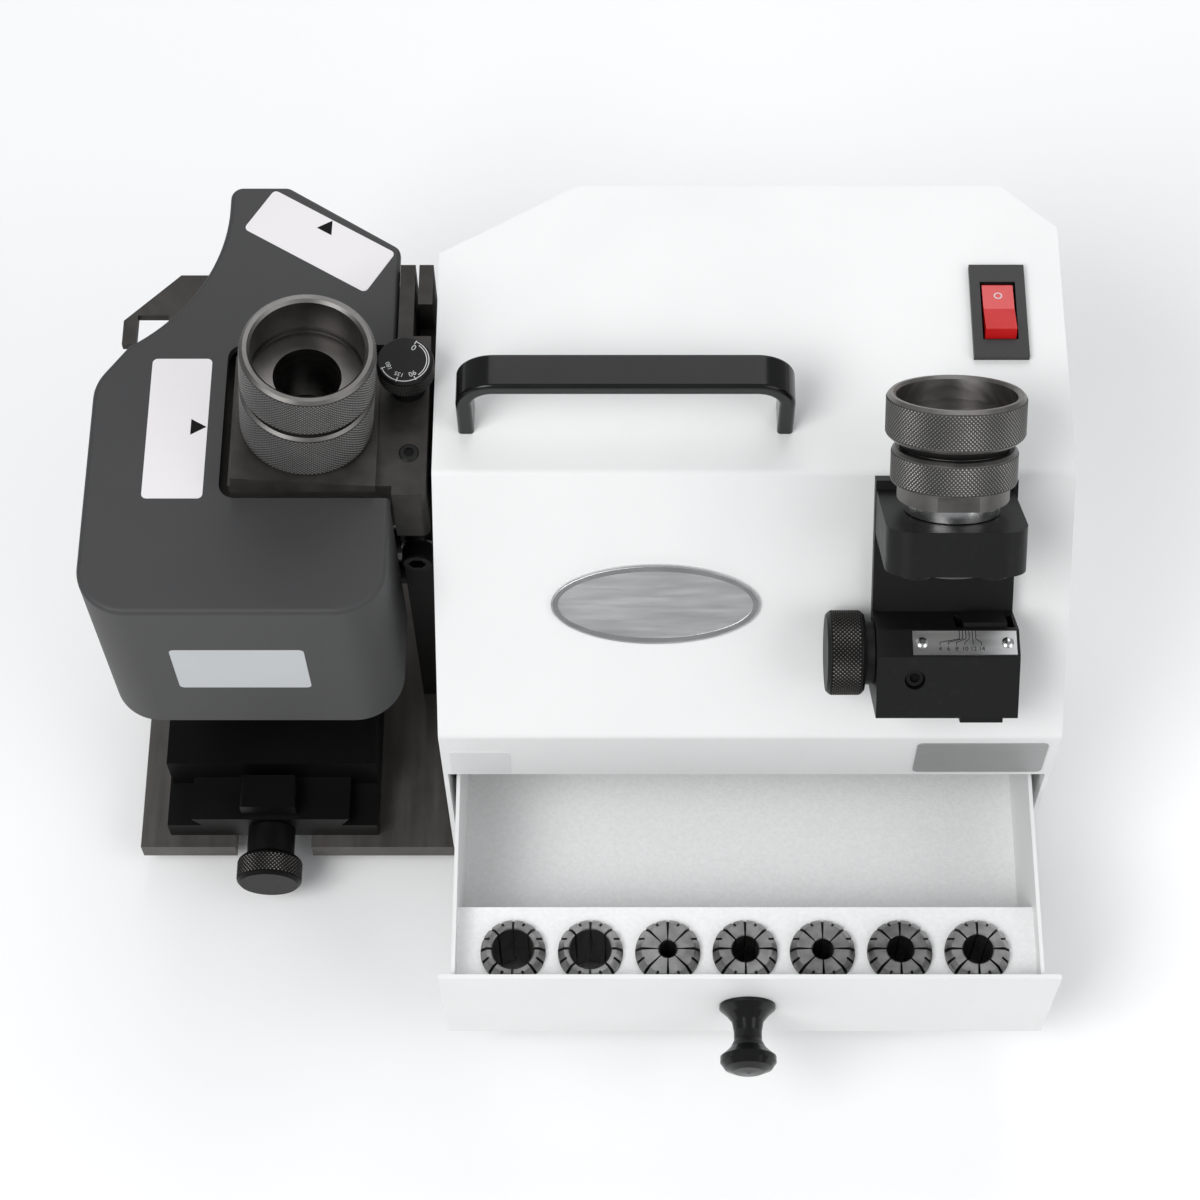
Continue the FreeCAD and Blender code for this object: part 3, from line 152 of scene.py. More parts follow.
def coated(name, colour, dirty, rough, grain, depth):
    f = Finish(name)
    cloud = f.noise(scale=14, detail=4)
    peel = f.noise(scale=grain, detail=2)
    return f.give(Base_Color=f.mix(f.spread(cloud, low=0.35, high=0.75), colour, dirty),
                  Roughness=rough + 0.10 * cloud,
                  Normal=f.bump(peel, strength=0.35, distance=depth))


def metal(name, dark, light, rough, scale, stretch=(1, 1, 1), metallic=1.0, depth=0.03):
    f = Finish(name)
    cloud = f.noise(scale=22, detail=5)
    streak = f.noise(scale, detail=5, stretch=stretch)
    tone = f.spread(cloud * 0.6 + streak * 0.4, low=0.35, high=0.68)
    return f.give(Base_Color=f.mix(tone, dark, light), Metallic=metallic,
                  Roughness=rough + 0.22 * (streak - 0.5),
                  Normal=f.bump(streak, strength=0.25, distance=depth))


def worn(name, dark, bright, rough, amount):
    f = Finish(name)
    cloud = f.noise(scale=30, detail=6)
    scuff = f.spread(f.noise(scale=260, detail=6, stretch=(1, 0.25, 1)), low=amount, high=amount + 0.14)
    return f.give(Base_Color=f.mix(scuff * 0.35, dark, bright), Metallic=0.75,
                  Roughness=rough + 0.18 * cloud - 0.06 * scuff,
                  Normal=f.bump(cloud, strength=0.15, distance=0.05))


def tipped(name, valley, tip, rough):
    # points of a knurl lighter in colour, as rubbed wear and as painted highlight on every tip, marked by the
    # piece's own tip attribute
    f = Finish(name)
    cloud = f.noise(scale=40, detail=4)
    mark = f.node("ShaderNodeAttribute", {"attribute_name": "tip"}, output="Fac")
    patchy = f.spread(cloud, low=0.25, high=0.65, toLow=0.35)
    # the tips' lighter colour is rubbed wear and painted highlight together
    rubAndHighlight = f.spread(mark, low=0.25, high=1.0) * patchy
    return f.give(Base_Color=f.mix(rubAndHighlight, valley, tip), Metallic=0.9, Roughness=rough + 0.15 * (1 - mark))


def moulded(name, colour, shade, rough, coat=0.0, glint=0.5):
    f = Finish(name)
    cloud = f.noise(scale=90, detail=3)
    return f.give(Base_Color=f.mix(cloud, colour, shade), Roughness=rough + 0.12 * (cloud - 0.4),
                  Coat_Weight=coat, Specular_IOR_Level=glint,
                  Normal=f.bump(f.noise(scale=700, detail=2), strength=0.08, distance=0.03))


def speckled(name, colour, shade, scale, rough, depth):
    f = Finish(name)
    grit = f.noise(scale, detail=2)
    cell = f.node("ShaderNodeTexVoronoi", None, {"Vector": f.coords, "Scale": scale})
    return f.give(Base_Color=f.mix(f.spread(grit, low=0.3, high=0.7), colour, shade),
                  Roughness=rough + 0.1 * grit,
                  Normal=f.bump(cell, strength=0.5, distance=depth))


finishSettings = {
    "whiteCoat": (coated, dict(colour=(0.86, 0.868, 0.863, 1), dirty=(0.815, 0.828, 0.822, 1),
                               rough=0.42, grain=1300, depth=0.10)),
    "guardCoat": (coated, dict(colour=(0.036, 0.036, 0.037, 1), dirty=(0.043, 0.043, 0.044, 1),
                               rough=0.52, grain=1100, depth=0.05)),
    "castSteel": (metal, dict(dark=grey(0.028, 0.08), light=grey(0.075, 0.06), rough=0.52,
                              scale=160, metallic=0.6, depth=0.08)),
    "groundSteel": (metal, dict(dark=grey(0.075, 0.08), light=grey(0.16, 0.06), rough=0.50,
                                scale=240, stretch=(1, 0.12, 1), metallic=0.8, depth=0.02)),
    "blackOxide": (worn, dict(dark=grey(0.019), bright=grey(0.034, 0.02), rough=0.40, amount=0.58)),
    "blackSlide": (worn, dict(dark=grey(0.006), bright=grey(0.014, 0.02), rough=0.38, amount=0.60)),
    "knurlSteel": (metal, dict(dark=grey(0.11, 0.04), light=grey(0.24, 0.03), rough=0.40, scale=120)),
    "wornHighlitKnurl": (tipped, dict(valley=grey(0.080, 0.03), tip=grey(0.46, 0.02), rough=0.36)),
    "darkHighlitKnurl": (tipped, dict(valley=grey(0.012, 0.02), tip=grey(0.24, 0.06), rough=0.38)),
    "turnedSteel": (metal, dict(dark=grey(0.13, 0.05), light=grey(0.27, 0.04), rough=0.38,
                                scale=90, stretch=(1, 1, 6), depth=0.01)),
    "colletSteel": (metal, dict(dark=grey(0.20, 0.02), light=grey(0.52, 0.01), rough=0.34,
                                scale=260, stretch=(1, 1, 4), depth=0.02)),
    "brightSteel": (metal, dict(dark=grey(0.50), light=grey(0.68), rough=0.22,
                                scale=80, stretch=(1, 1, 8), depth=0.01)),
    "castAluminium": (metal, dict(dark=grey(0.42), light=grey(0.60), rough=0.45, scale=200, depth=0.06)),
    "plateAluminium": (metal, dict(dark=grey(0.62), light=grey(0.82), rough=0.36,
                                   scale=500, stretch=(0.1, 1, 1), depth=0.01)),
    "plateGrey": (metal, dict(dark=grey(0.36), light=grey(0.44), rough=0.42,
                              scale=500, stretch=(0.1, 1, 1), metallic=0.5, depth=0.01)),
    "grit": (speckled, dict(colour=grey(0.30, 0.04), shade=grey(0.16, 0.05), scale=1500, rough=0.8,
                            depth=0.15)),
    "blackGloss": (moulded, dict(colour=grey(0.004), shade=grey(0.007), rough=0.18, glint=0.3)),
    "blackSatin": (moulded, dict(colour=grey(0.010), shade=grey(0.018), rough=0.38)),
    "redGloss": (moulded, dict(colour=(0.55, 0.008, 0.010, 1), shade=(0.66, 0.016, 0.016, 1),
                               rough=0.18, coat=0.4)),
    "foam": (speckled, dict(colour=grey(0.93), shade=grey(0.87), scale=900, rough=0.75, depth=0.12)),
    "rubber": (moulded, dict(colour=grey(0.014), shade=grey(0.026), rough=0.7)),
    "paper": (coated, dict(colour=(0.80, 0.775, 0.785, 1), dirty=(0.75, 0.73, 0.745, 1),
                           rough=0.40, grain=600, depth=0.01)),
    "greyPaper": (coated, dict(colour=(0.54, 0.56, 0.57, 1), dirty=(0.49, 0.51, 0.52, 1),
                               rough=0.36, grain=600, depth=0.01)),
    "clearPaper": (coated, dict(colour=(0.76, 0.775, 0.77, 1), dirty=(0.72, 0.74, 0.73, 1),
                                rough=0.42, grain=600, depth=0.01)),
    "ink": (moulded, dict(colour=grey(0.003), shade=grey(0.005), rough=0.6, glint=0.15)),
    "whiteInk": (moulded, dict(colour=grey(0.75), shade=grey(0.62), rough=0.5)),
}
finishes = {name: make(name, **settings) for name, (make, settings) in finishSettings.items()}
nodeFinish = {
    "whiteCoat": ("case_wrap", "left_side_panel", "right_side_panel", "rear_panel", "drawer_tray",
                  "drawer_front"),
    "guardCoat": ("wheel_guard",),
    "castSteel": ("holder_bracket", "holder_pad", "rear_holder", "holder_column"),
    "groundSteel": ("base_plate",),
    "blackSlide": ("upright_plate", "slide_base", "slide_carriage", "feed_bearing_block", "feed_knob"),
    "blackOxide": ("setter_back_plate", "setter_block", "setter_seat", "setting_knob", "setting_bar",
                   "seat_screws", "clamp_bolt", "motor_bolts", "angle_dial"),
    "knurlSteel": ("socket_ring", "lock_ring", "chuck_nut"),
    "colletSteel": ("collets",),
    "turnedSteel": ("chuck_body", "holder_seat"),
    "brightSteel": ("chuck_collar", "clamp_washer", "motor_shaft", "wheel_nut", "spindle_bearings",
                    "panel_screws", "feed_screw", "drawer_rails", "motor_rotor"),
    "castAluminium": ("motor_front_bell", "motor_rear_bell", "motor_can", "run_capacitor", "wheel_core"),
    "plateAluminium": ("scale_plate", "oval_badge"),
    "plateGrey": ("rating_plate",),
    "grit": ("wheel_rim",),
    "blackGloss": ("drawer_knob", "carry_handle"),
    "blackSatin": ("switch_housing", "cable_gland"),
    "redGloss": ("switch_rocker",),
    "foam": ("collet_rack", "drawer_liner"),
    "rubber": ("rubber_feet",),
}
for finishName, nodeNames in nodeFinish.items():
    for nodeName in nodeNames:
        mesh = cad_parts[nodeName].data
        mesh.materials.clear()
        mesh.materials.append(finishes[finishName])
print("finishes on", len(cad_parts), "nodes")


def addPiece(name, bm, finish, body, matrix, smooth=False):
    bmesh.ops.transform(bm, matrix=matrix, verts=bm.verts)
    mesh = bpy.data.meshes.new(name)
    bm.to_mesh(mesh)
    bm.free()
    if smooth:
        mesh.shade_smooth()
    mesh.materials.append(finishes[finish])
    piece = bpy.data.objects.new(name, mesh)
    bpy.context.scene.collection.objects.link(piece)
    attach(piece, body)
    return piece


figureSettings = {"extrude": 0.03}


def addFigure(name, text, height, finish, body, matrix):
    curve = bpy.data.curves.new(name, "FONT")
    curve.body = text
    curve.size = height * mm
    curve.extrude = figureSettings["extrude"] * mm
    curve.align_x = "CENTER"
    curve.align_y = "CENTER"
    holder = bpy.data.objects.new(name + "_curve", curve)
    bpy.context.scene.collection.objects.link(holder)
    bpy.context.view_layer.update()
    mesh = bpy.data.meshes.new_from_object(holder.evaluated_get(bpy.context.evaluated_depsgraph_get()))
    bpy.data.objects.remove(holder)
    bm = bmesh.new()
    bm.from_mesh(mesh)
    bpy.data.meshes.remove(mesh)
    addPiece(name, bm, finish, body, matrix)


def slab(length, width, height, corner=0.0):
    bm = bmesh.new()
    bmesh.ops.create_cube(bm, size=1)
    bmesh.ops.scale(bm, vec=(length * mm, width * mm, height * mm), verts=bm.verts)
    bmesh.ops.translate(bm, vec=(0, 0, height * mm / 2), verts=bm.verts)
    if corner:
        upright = [e for e in bm.edges if abs(e.verts[0].co.z - e.verts[1].co.z) > height * mm / 2]
        bmesh.ops.bevel(bm, geom=upright, offset=corner * mm, affect="EDGES", segments=5, profile=0.5,
                        material=-1)
    return bm


def spun(profile, steps=64, angle=fullTurn):
    # radius and height pairs in millimetres, turned about local Z
    bm = bmesh.new()
    verts = [bm.verts.new((radius * mm, 0, height * mm)) for radius, height in profile]
    edges = [bm.edges.new(pair) for pair in zip(verts, verts[1:])]
    bmesh.ops.spin(bm, geom=verts + edges, cent=(0, 0, 0), axis=(0, 0, 1), angle=angle, steps=steps,
                   use_merge=angle == fullTurn)
    bmesh.ops.remove_doubles(bm, verts=bm.verts, dist=mergeGap)
    bmesh.ops.recalc_face_normals(bm, faces=bm.faces)
    return bm


# the axes that the turned pieces stand on
holderSettings = {"x": -101, "y": 78, "z": 168.8, "leanRight": 6, "leanBack": 4}
chuckSettings = {"x": 97.5, "out": 25}
settingSettings = {"along": 34.6, "out": 14}
feedSettings = {"x": -125, "z": 13}
holderAxis = Vector((math.tan(math.radians(holderSettings["leanRight"])),
                     math.tan(math.radians(holderSettings["leanBack"])), 1))
holderTurn = Vector((0, 0, 1)).rotation_difference(holderAxis).to_matrix().to_4x4()
holderFrame = spot(holderSettings["x"], holderSettings["y"], holderSettings["z"]) @ holderTurn
chuckFrame = onSlope(chuckSettings["x"], 0, chuckSettings["out"]) @ turned(-90, "X")
settingFrame = onSlope(0, settingSettings["along"], settingSettings["out"]) @ turned(90, "Y")
feedFrame = spot(feedSettings["x"], 0, feedSettings["z"]) @ turned(90, "X")
dialFrame = spot(-70, 93, 165)

knurlSettings = {
    "rise": 0.30,   # tip above the valley
    "lift": 0.03,   # valley above the plain ring
    "slots": {"wornHighlitKnurl": "knurled_steel", "darkHighlitKnurl": "black_oxide"},
}
knurlPieces = (   # pitch is across one diamond
    {"name": "socket_ring_knurl", "radius": 20.5, "low": 23.9, "high": 38.9, "pitch": 1.25,
     "body": "socket_ring", "finish": "wornHighlitKnurl", "place": holderFrame},
    {"name": "lock_ring_knurl", "radius": 20.5, "low": 1.6, "high": 19.5, "pitch": 1.25,
     "body": "lock_ring", "finish": "wornHighlitKnurl", "place": holderFrame},
    {"name": "chuck_crown_knurl", "radius": 20.85, "low": 109.5, "high": 120.8, "pitch": 1.25,
     "body": "chuck", "finish": "wornHighlitKnurl", "place": chuckFrame},
    {"name": "chuck_nut_knurl", "radius": 18.9, "low": 94.9, "high": 104.1, "pitch": 1.25,
     "body": "chuck_nut", "finish": "wornHighlitKnurl", "place": chuckFrame},
    {"name": "setting_knob_knurl", "radius": 13, "low": 62.2, "high": 71.6, "pitch": 1.35,
     "body": "setting_screw", "finish": "darkHighlitKnurl", "place": settingFrame},
    {"name": "feed_knob_knurl", "radius": 11, "low": 7.8, "high": 14.8, "pitch": 1.35,
     "body": "feed", "finish": "darkHighlitKnurl", "place": feedFrame},
    {"name": "dial_knurl", "radius": 8.75, "low": 9.3, "high": 15.5, "pitch": 0.9,
     "body": "dial", "finish": "darkHighlitKnurl", "place": dialFrame},
)


def knurl(radius, low, high, pitch):
    columns = 2 * round(2 * math.pi * radius / pitch)
    rows = max(4, 2 * round((high - low) / pitch))
    bm = bmesh.new()
    bmesh.ops.create_grid(bm, x_segments=columns, y_segments=rows, size=0.5)
    tip = bm.verts.layers.float.new("tip")
    for vert in bm.verts:
        column = round((vert.co.x + 0.5) * columns)
        row = round((vert.co.y + 0.5) * rows)
        raised = (column + row) % 2 == 0 and 0 < row < rows
        reach = radius + knurlSettings["lift"] + (knurlSettings["rise"] if raised else 0)
        vert[tip] = 1.0 if raised else 0.0
        turn = 2 * math.pi * column / columns
        height = low + (high - low) * row / rows
        vert.co = Vector((reach * math.cos(turn), reach * math.sin(turn), height)) * mm
    for face in list(bm.faces):   # each diamond is split from valley to valley
        corners = list(face.verts)
        reaches = [corner.co.xy.length for corner in corners]
        first = 0 if reaches[0] + reaches[2] < reaches[1] + reaches[3] else 1
        bmesh.utils.face_split(face, corners[first], corners[first + 2])
    bmesh.ops.remove_doubles(bm, verts=bm.verts, dist=mergeGap)
    bmesh.ops.recalc_face_normals(bm, faces=bm.faces)
    return bm


for s in knurlPieces:
    addPiece(s["name"], knurl(s["radius"], s["low"], s["high"], s["pitch"]), s["finish"], s["body"],
             s["place"])
# painted shade: a black band laid in the groove between the crown and nut knurls, standing in for the shadow
# in that recess
grooveShadeBand = [(16.4, 105.6), (16.75, 105.7), (16.75, 108.3), (16.4, 108.4)]   # dark recess between rings
addPiece("chuck_groove_shade_band", spun(grooveShadeBand), "ink", "chuck", chuckFrame, True)
print("knurls done")


colletSettings = {
    "firstX": -38.1, "pitch": 25.2, "y": -56.5, "top": 61, "radius": 10.5, "length": 31.5,
    "nose": 8.6, "shoulder": 2.2, "groove": 4.6, "grooveWidth": 2.4, "grooveDepth": 1.3,
    "tail": 6.7, "tailWall": 0.6, "taper": 1.5, "mouth": 0.4,
    "bores": (13.6, 13.6, 6, 9, 7, 9, 10),
    "jaws": 8, "slot": 6.0, "notch": 5.0, "notchReach": 8.2, "steps": 6,   # slot and notch in degrees
}


def sector(profile, start, sweep):
    # closed profile turned part of the way round, ends filled
    bm = bmesh.new()
    face = bm.faces.new([bm.verts.new((radius * mm, 0, height * mm)) for radius, height in profile])
    bmesh.ops.spin(bm, geom=[face] + list(face.edges) + list(face.verts), cent=(0, 0, 0), axis=(0, 0, 1),
                   angle=math.radians(sweep), steps=colletSettings["steps"])
    rim = [e for e in bm.edges if e.is_boundary]
    if rim:
        bmesh.ops.holes_fill(bm, edges=rim)
    bmesh.ops.recalc_face_normals(bm, faces=bm.faces)
    bmesh.ops.rotate(bm, cent=(0, 0, 0), matrix=Matrix.Rotation(math.radians(start), 3, "Z"), verts=bm.verts)
    return bm


def joined(pieces):
    whole = bmesh.new()
    for bm in pieces:
        part = bpy.data.meshes.new("part")
        bm.to_mesh(part)
        bm.free()
        whole.from_mesh(part)
        bpy.data.meshes.remove(part)
    return whole


def collet(bore):
    c = colletSettings
    inner = bore / 2
    tail = max(c["tail"], inner + c["tailWall"])
    under = -c["groove"] - c["grooveWidth"]
    waist = c["radius"] - c["grooveDepth"]
    reach = c["notchReach"]
    knee = -c["length"] + (reach - tail) / (c["radius"] - tail) * (c["length"] + under - c["taper"])
    core = [(inner, -c["length"]), (tail, -c["length"]), (reach, knee), (reach, 0),
            (inner + c["mouth"], 0), (inner, -c["mouth"])]
    rim = [(reach, knee), (c["radius"], under - c["taper"]), (c["radius"], under), (waist, under),
           (waist, -c["groove"]), (c["radius"], -c["groove"]), (c["radius"], -c["shoulder"]),
           (c["nose"], 0), (reach, 0)]
    jaw = 360 / c["jaws"]
    half = (jaw - c["slot"] - c["notch"]) / 2
    pieces = []
    for number in range(c["jaws"]):
        start = jaw * number + c["slot"] / 2
        pieces.append(sector(core, start, jaw - c["slot"]))
        pieces.append(sector(rim, start, half))
        pieces.append(sector(rim, start + half + c["notch"], half))
    return joined(pieces)


for number, bore in enumerate(colletSettings["bores"]):
    x = colletSettings["firstX"] + number * colletSettings["pitch"]
    piece = addPiece(f"slotted_collet_{number + 1}", collet(bore), "colletSteel", "drawer",
                     spot(x, colletSettings["y"], colletSettings["top"]))
    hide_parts("collets")
print("collets done")


# stickers on the guard and the case, with a pointer on those of the guard's top
stickerSettings = {"thick": 0.12, "corner": 1.6, "guardTop": 163, "guardFront": 14.4, "pointer": 3.3}
guardStickers = (
    {"name": "rear_sticker", "x": -101.0, "y": 149.6, "length": 47.5, "width": 17.8, "turn": -31.3,
     "pointerX": -98.8, "pointerY": 154.6},
    {"name": "left_sticker", "x": -142.3, "y": 79.4, "length": 50.6, "width": 19.0, "turn": -90,
     "pointerX": -136.4, "pointerY": 79.7},
)
frontStickers = (
    {"name": "front_sticker", "body": "guard", "finish": "greyPaper", "x": -123.1,
     "y": stickerSettings["guardFront"], "z": 123.35, "length": 42.2, "width": 27.3},
    {"name": "apron_sticker", "body": "machine", "finish": "clearPaper", "x": -48.8, "y": 0, "z": 82.1,
     "length": 19.8, "width": 17.2},
)


def sticker(length, width):
    return slab(length, width, stickerSettings["thick"], stickerSettings["corner"])


for s in guardStickers:
    turn = turned(s["turn"], "Z")
    addPiece(s["name"], sticker(s["length"], s["width"]), "paper", "guard",
             spot(s["x"], s["y"], stickerSettings["guardTop"]) @ turn)
    pointer = bmesh.new()
    bmesh.ops.create_cone(pointer, cap_ends=True, segments=3, radius1=stickerSettings["pointer"] * mm,
                          radius2=stickerSettings["pointer"] * mm, depth=inkThick * mm)
    pointerZ = stickerSettings["guardTop"] + stickerSettings["thick"]
    addPiece(s["name"] + "_pointer", pointer, "ink", "guard",
             spot(s["pointerX"], s["pointerY"], pointerZ) @ turn)
for s in frontStickers:
    addPiece(s["name"], sticker(s["length"], s["width"]), s["finish"], s["body"],
             spot(s["x"], s["y"], s["z"]) @ turned(90, "X"))
print("stickers done")


# scale plate: figures, bent leaders that gather at the top, and rivets
scaleSettings = {
    "left": 87, "length": 32, "step": 38.4, "shoulder": 45, "depth": 28, "turn": -45, "thick": 0.6,
    "figures": ("4", "6", "8", "10", "12", "14"), "height": 2.0, "figureY": -2.1,
    "pitch": 2.55, "middle": -1.3,         # of the figures and the leaders' lower ends
    "topPitch": 1.0, "topMiddle": 0.9,     # of the leaders' upper ends
    "levels": (-0.7, 0.1, 1.3, 3.9), "line": 0.2,
    "rivetX": 13.2, "rivet": [(0, 0.75), (0.9, 0.65), (1.5, 0.4), (1.9, 0)], "rivetSteps": 24,
}
facet = (scaleSettings["shoulder"] - scaleSettings["step"]) / 2
scaleFrame = onSlope(scaleSettings["left"] + scaleSettings["length"] / 2, scaleSettings["step"] + facet,
                     scaleSettings["depth"] - facet) @ turned(scaleSettings["turn"], "X")
scaleTop = scaleFrame @ moved(0, 0, scaleSettings["thick"])
middleFigure = (len(scaleSettings["figures"]) - 1) / 2
for number, figure in enumerate(scaleSettings["figures"]):
    low = (number - middleFigure) * scaleSettings["pitch"] + scaleSettings["middle"]
    high = (number - middleFigure) * scaleSettings["topPitch"] + scaleSettings["topMiddle"]
    addFigure(f"scale_figure_{figure}", figure, scaleSettings["height"], "ink", "machine",
              scaleTop @ moved(low, scaleSettings["figureY"], 0))
    corners = list(zip((low, low, high, high), scaleSettings["levels"]))
    runs = []
    for (x0, y0), (x1, y1) in zip(corners, corners[1:]):
        run = slab(math.hypot(x1 - x0, y1 - y0) + scaleSettings["line"], scaleSettings["line"], inkThick)
        runTurn = Matrix.Rotation(math.atan2(y1 - y0, x1 - x0), 4, "Z")
        bmesh.ops.transform(run, verts=run.verts,
                            matrix=moved((x0 + x1) / 2, (y0 + y1) / 2, 0) @ runTurn)
        runs.append(run)
    addPiece(f"scale_leader_{figure}", joined(runs), "ink", "machine", scaleTop)
for sideName, side in (("left", -1), ("right", 1)):
    addPiece(f"scale_rivet_{sideName}", spun(scaleSettings["rivet"], scaleSettings["rivetSteps"]),
             "brightSteel", "machine",
             scaleTop @ moved(side * scaleSettings["rivetX"], 0, 0), True)
print("scale done")


# dial face: figures, ring lines and ticks
dialSettings = {
    "top": 16.3, "line": 0.28,
    "figures": (("0", 60, 5.2, 2.8), ("90", -62, 5.3, 2.4),          # figure, turn, reach, height
                ("135", -108, 5.2, 2.0), ("180", -158, 5.2, 2.0)),
    "arcs": ((7.4, -158, 64), (6.7, -50, 52)), "arcLift": 0.04, "arcSteps": 40,   # radius, start, end
    "ticks": (64, -62, -108, -158), "tickLength": 1.5, "tickReach": 7.2,
}
dialTop = dialFrame @ moved(0, 0, dialSettings["top"])
for figure, turn, reach, height in dialSettings["figures"]:
    addFigure(f"dial_figure_{figure}", figure, height, "whiteInk", "dial",
              dialTop @ turned(turn, "Z") @ moved(reach, 0, 0) @ turned(-90, "Z"))
for number, (radius, start, end) in enumerate(dialSettings["arcs"], 1):
    line = [(radius, dialSettings["arcLift"]), (radius + dialSettings["line"], dialSettings["arcLift"])]
    addPiece(f"dial_arc_{number}", spun(line, dialSettings["arcSteps"], math.radians(end - start)),
             "whiteInk", "dial", dialTop @ turned(start, "Z"))
for turn in dialSettings["ticks"]:
    addPiece(f"dial_tick_{turn % 360}", slab(dialSettings["tickLength"], dialSettings["line"], inkThick),
             "whiteInk", "dial",
             dialTop @ turned(turn, "Z") @ moved(dialSettings["tickReach"], 0, 0))
print("dial done")


rockerSettings = {
    "x": 117.6, "y": 119.1, "z": 167, "height": 3.6,
    "marks": (("O", 5.6, 1.72, -6.0), ("I", -4.6, 3.8, -17.9)),   # mark, its y and z, and the face's tilt
}
for mark, y, z, tilt in rockerSettings["marks"]:
    addFigure(f"rocker_mark_{mark}", mark, rockerSettings["height"], "whiteInk", "rocker",
              spot(rockerSettings["x"], rockerSettings["y"] + y, rockerSettings["z"] + z) @ turned(tilt, "X"))
print("rocker done")


# socket screws: one sunk in the setting block, one standing a little proud of the bracket
screwSettings = {
    "sunk": [(0, -1.8), (1.6, -1.8), (1.6, 0), (2.7, 0), (3.1, -0.4), (3.1, -4)],
    "proud": [(0, 0.05), (1.6, 0.05), (1.6, 0.6), (2.7, 0.6), (3.1, 0.25), (3.1, 0)], "steps": 48,
    "setter": (87.8, 30.9), "setterFace": 26.2, "setterFloor": 24.5,
    "bracket": (-69, 69.2), "bracketFace": 165, "bracketFloor": 165.1,
}
addPiece("setter_grub_screw", spun(screwSettings["sunk"], screwSettings["steps"]), "blackOxide", "machine",
         onSlope(*screwSettings["setter"], screwSettings["setterFace"]))
addPiece("bracket_grub_screw", spun(screwSettings["proud"], screwSettings["steps"]), "blackOxide", "carriage",
         spot(*screwSettings["bracket"], screwSettings["bracketFace"]))

# painted shade: black hexagon discs in the heads of the socket screws, standing in for the shadow inside the
# hex sockets
socketSettings = {
    "hexagon": [(0, inkThick), (1.55, inkThick)],
    "panelX": (0, 106), "panelZ": (22, 150), "panelFace": 170.4,
    "motorFace": -79, "shaftY": 84, "shaftZ": 104, "boltAlong": 22 * math.cos(math.radians(30)), "boltUp": 11,
}
socketShades = [("setter_grub_socket_shade", "machine", onSlope(*screwSettings["setter"], screwSettings["setterFloor"])),
           ("bracket_grub_socket_shade", "carriage", spot(*screwSettings["bracket"], screwSettings["bracketFloor"]))]
for column in (0, 1):
    for row in (0, 1):
        number = 2 * column + row + 1
        panelSpot = spot(socketSettings["panelX"][column], socketSettings["panelFace"],
                         socketSettings["panelZ"][row])
        boltSpot = spot(socketSettings["motorFace"],
                        socketSettings["shaftY"] + (2 * column - 1) * socketSettings["boltAlong"],
                        socketSettings["shaftZ"] + (2 * row - 1) * socketSettings["boltUp"])
        socketShades.append((f"panel_screw_socket_shade_{number}", "machine", panelSpot @ turned(-90, "X")))
        socketShades.append((f"motor_bolt_socket_shade_{number}", "machine", boltSpot @ turned(-90, "Y")))
for name, body, place in socketShades:
    addPiece(name, spun(socketSettings["hexagon"], 6), "ink", body, place)
print("screws done")


# badge: raised rim round a plain face
badgeSettings = {
    "x": 8, "along": 45.8, "out": 1.45, "length": 66, "width": 26.5, "margin": 0.6,
    "inner": (0.95, 0.88, 1), "height": 0.5, "steps": 96,   # inner is the opening's share of the rim
}
rim = bmesh.new()
bmesh.ops.create_circle(rim, cap_ends=False, segments=badgeSettings["steps"], radius=1)
bmesh.ops.scale(rim, verts=rim.verts, vec=((badgeSettings["length"] / 2 - badgeSettings["margin"]) * mm,
                                           (badgeSettings["width"] / 2 - badgeSettings["margin"]) * mm, 1))
grown = bmesh.ops.extrude_edge_only(rim, edges=list(rim.edges))["geom"]
ringVerts = [g for g in grown if isinstance(g, bmesh.types.BMVert)]
bmesh.ops.scale(rim, vec=badgeSettings["inner"], verts=ringVerts)
bmesh.ops.solidify(rim, geom=list(rim.faces), thickness=badgeSettings["height"] * mm)
bmesh.ops.recalc_face_normals(rim, faces=rim.faces)
addPiece("badge_rim", rim, "brightSteel", "machine",
         onSlope(badgeSettings["x"], badgeSettings["along"], badgeSettings["out"]))
print("badge done")


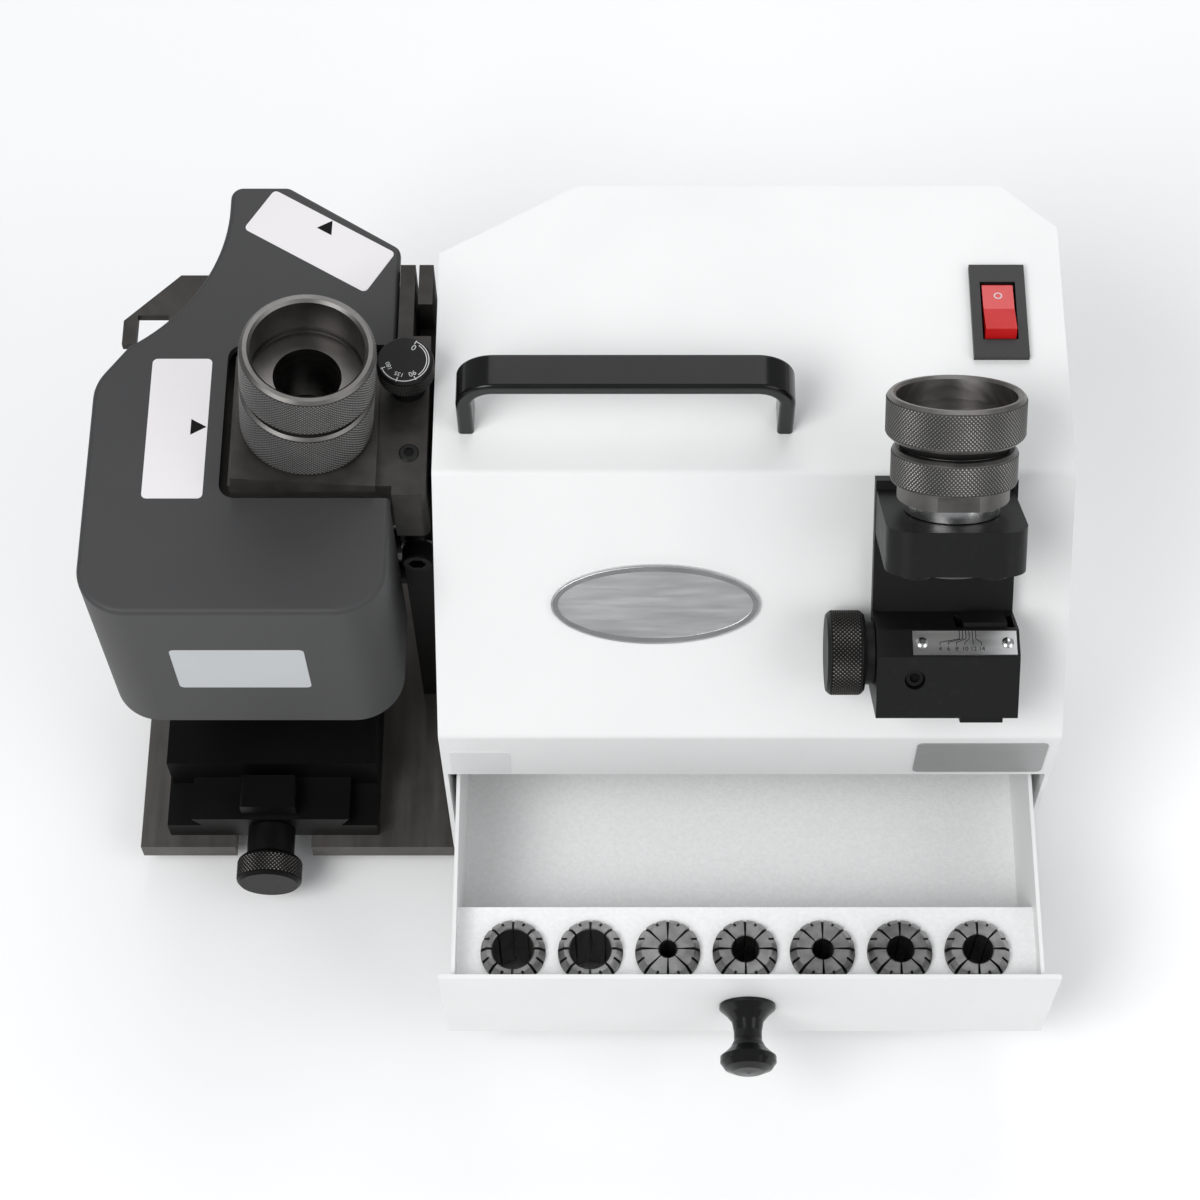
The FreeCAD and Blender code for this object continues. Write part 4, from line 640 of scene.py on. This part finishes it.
# floor, light and camera
floorSettings = {"size": 4.0, "colour": (0.97, 0.97, 0.97, 1), "rough": 0.6}
floorGrid = bmesh.new()
bmesh.ops.create_grid(floorGrid, x_segments=1, y_segments=1, size=floorSettings["size"] / 2)
floorMesh = bpy.data.meshes.new("floor")
floorGrid.to_mesh(floorMesh)
floorGrid.free()
floorFinish = Finish("floorFinish")
floorMesh.materials.append(floorFinish.give(Base_Color=floorSettings["colour"],
                                            Roughness=floorSettings["rough"]))
floor = bpy.data.objects.new("floor", floorMesh)
bpy.context.scene.collection.objects.link(floor)

lightSettings = (
    {"name": "keyLight", "place": (-0.75, -0.75, 1.45), "power": 17.5, "size": 0.9},
    {"name": "fillLight", "place": (1.1, -0.6, 1.0), "power": 6.5, "size": 1.1},
    {"name": "backLight", "place": (0.2, 1.2, 1.3), "power": 8, "size": 1.2},
)
target = Vector((0, 0, 0.08))
for s in lightSettings:
    lamp = bpy.data.lights.new(s["name"], "AREA")
    lamp.energy = s["power"]
    lamp.size = s["size"]
    light = bpy.data.objects.new(s["name"], lamp)
    light.location = s["place"]
    light.rotation_euler = (target - Vector(s["place"])).to_track_quat("-Z", "Y").to_euler()
    bpy.context.scene.collection.objects.link(light)
worldSettings = {"Color": (0.95, 0.97, 1.0, 1), "Strength": 0.38}
world = bpy.data.worlds.new("studio")
world.use_nodes = True
for key, value in worldSettings.items():
    world.node_tree.nodes["Background"].inputs[key].default_value = value
bpy.context.scene.world = world

cameraSettings = {"place": (0, -373.5, 943.1), "tilt": 26.7, "lens": 85.95, "sensor": 36, "shift": -0.025,
                  "clip": 0.05}
lens = bpy.data.cameras.new("photoCamera")
lens.lens = cameraSettings["lens"]
lens.sensor_width = cameraSettings["sensor"]
lens.shift_x = cameraSettings["shift"]
lens.clip_start = cameraSettings["clip"]
camera = bpy.data.objects.new("photoCamera", lens)
camera.location = spot(*cameraSettings["place"]).to_translation()
camera.rotation_euler = (math.radians(cameraSettings["tilt"]), 0, 0)
bpy.context.scene.collection.objects.link(camera)
bpy.context.scene.camera = camera
bpy.context.scene.view_settings.view_transform = "Standard"
print("stage done")
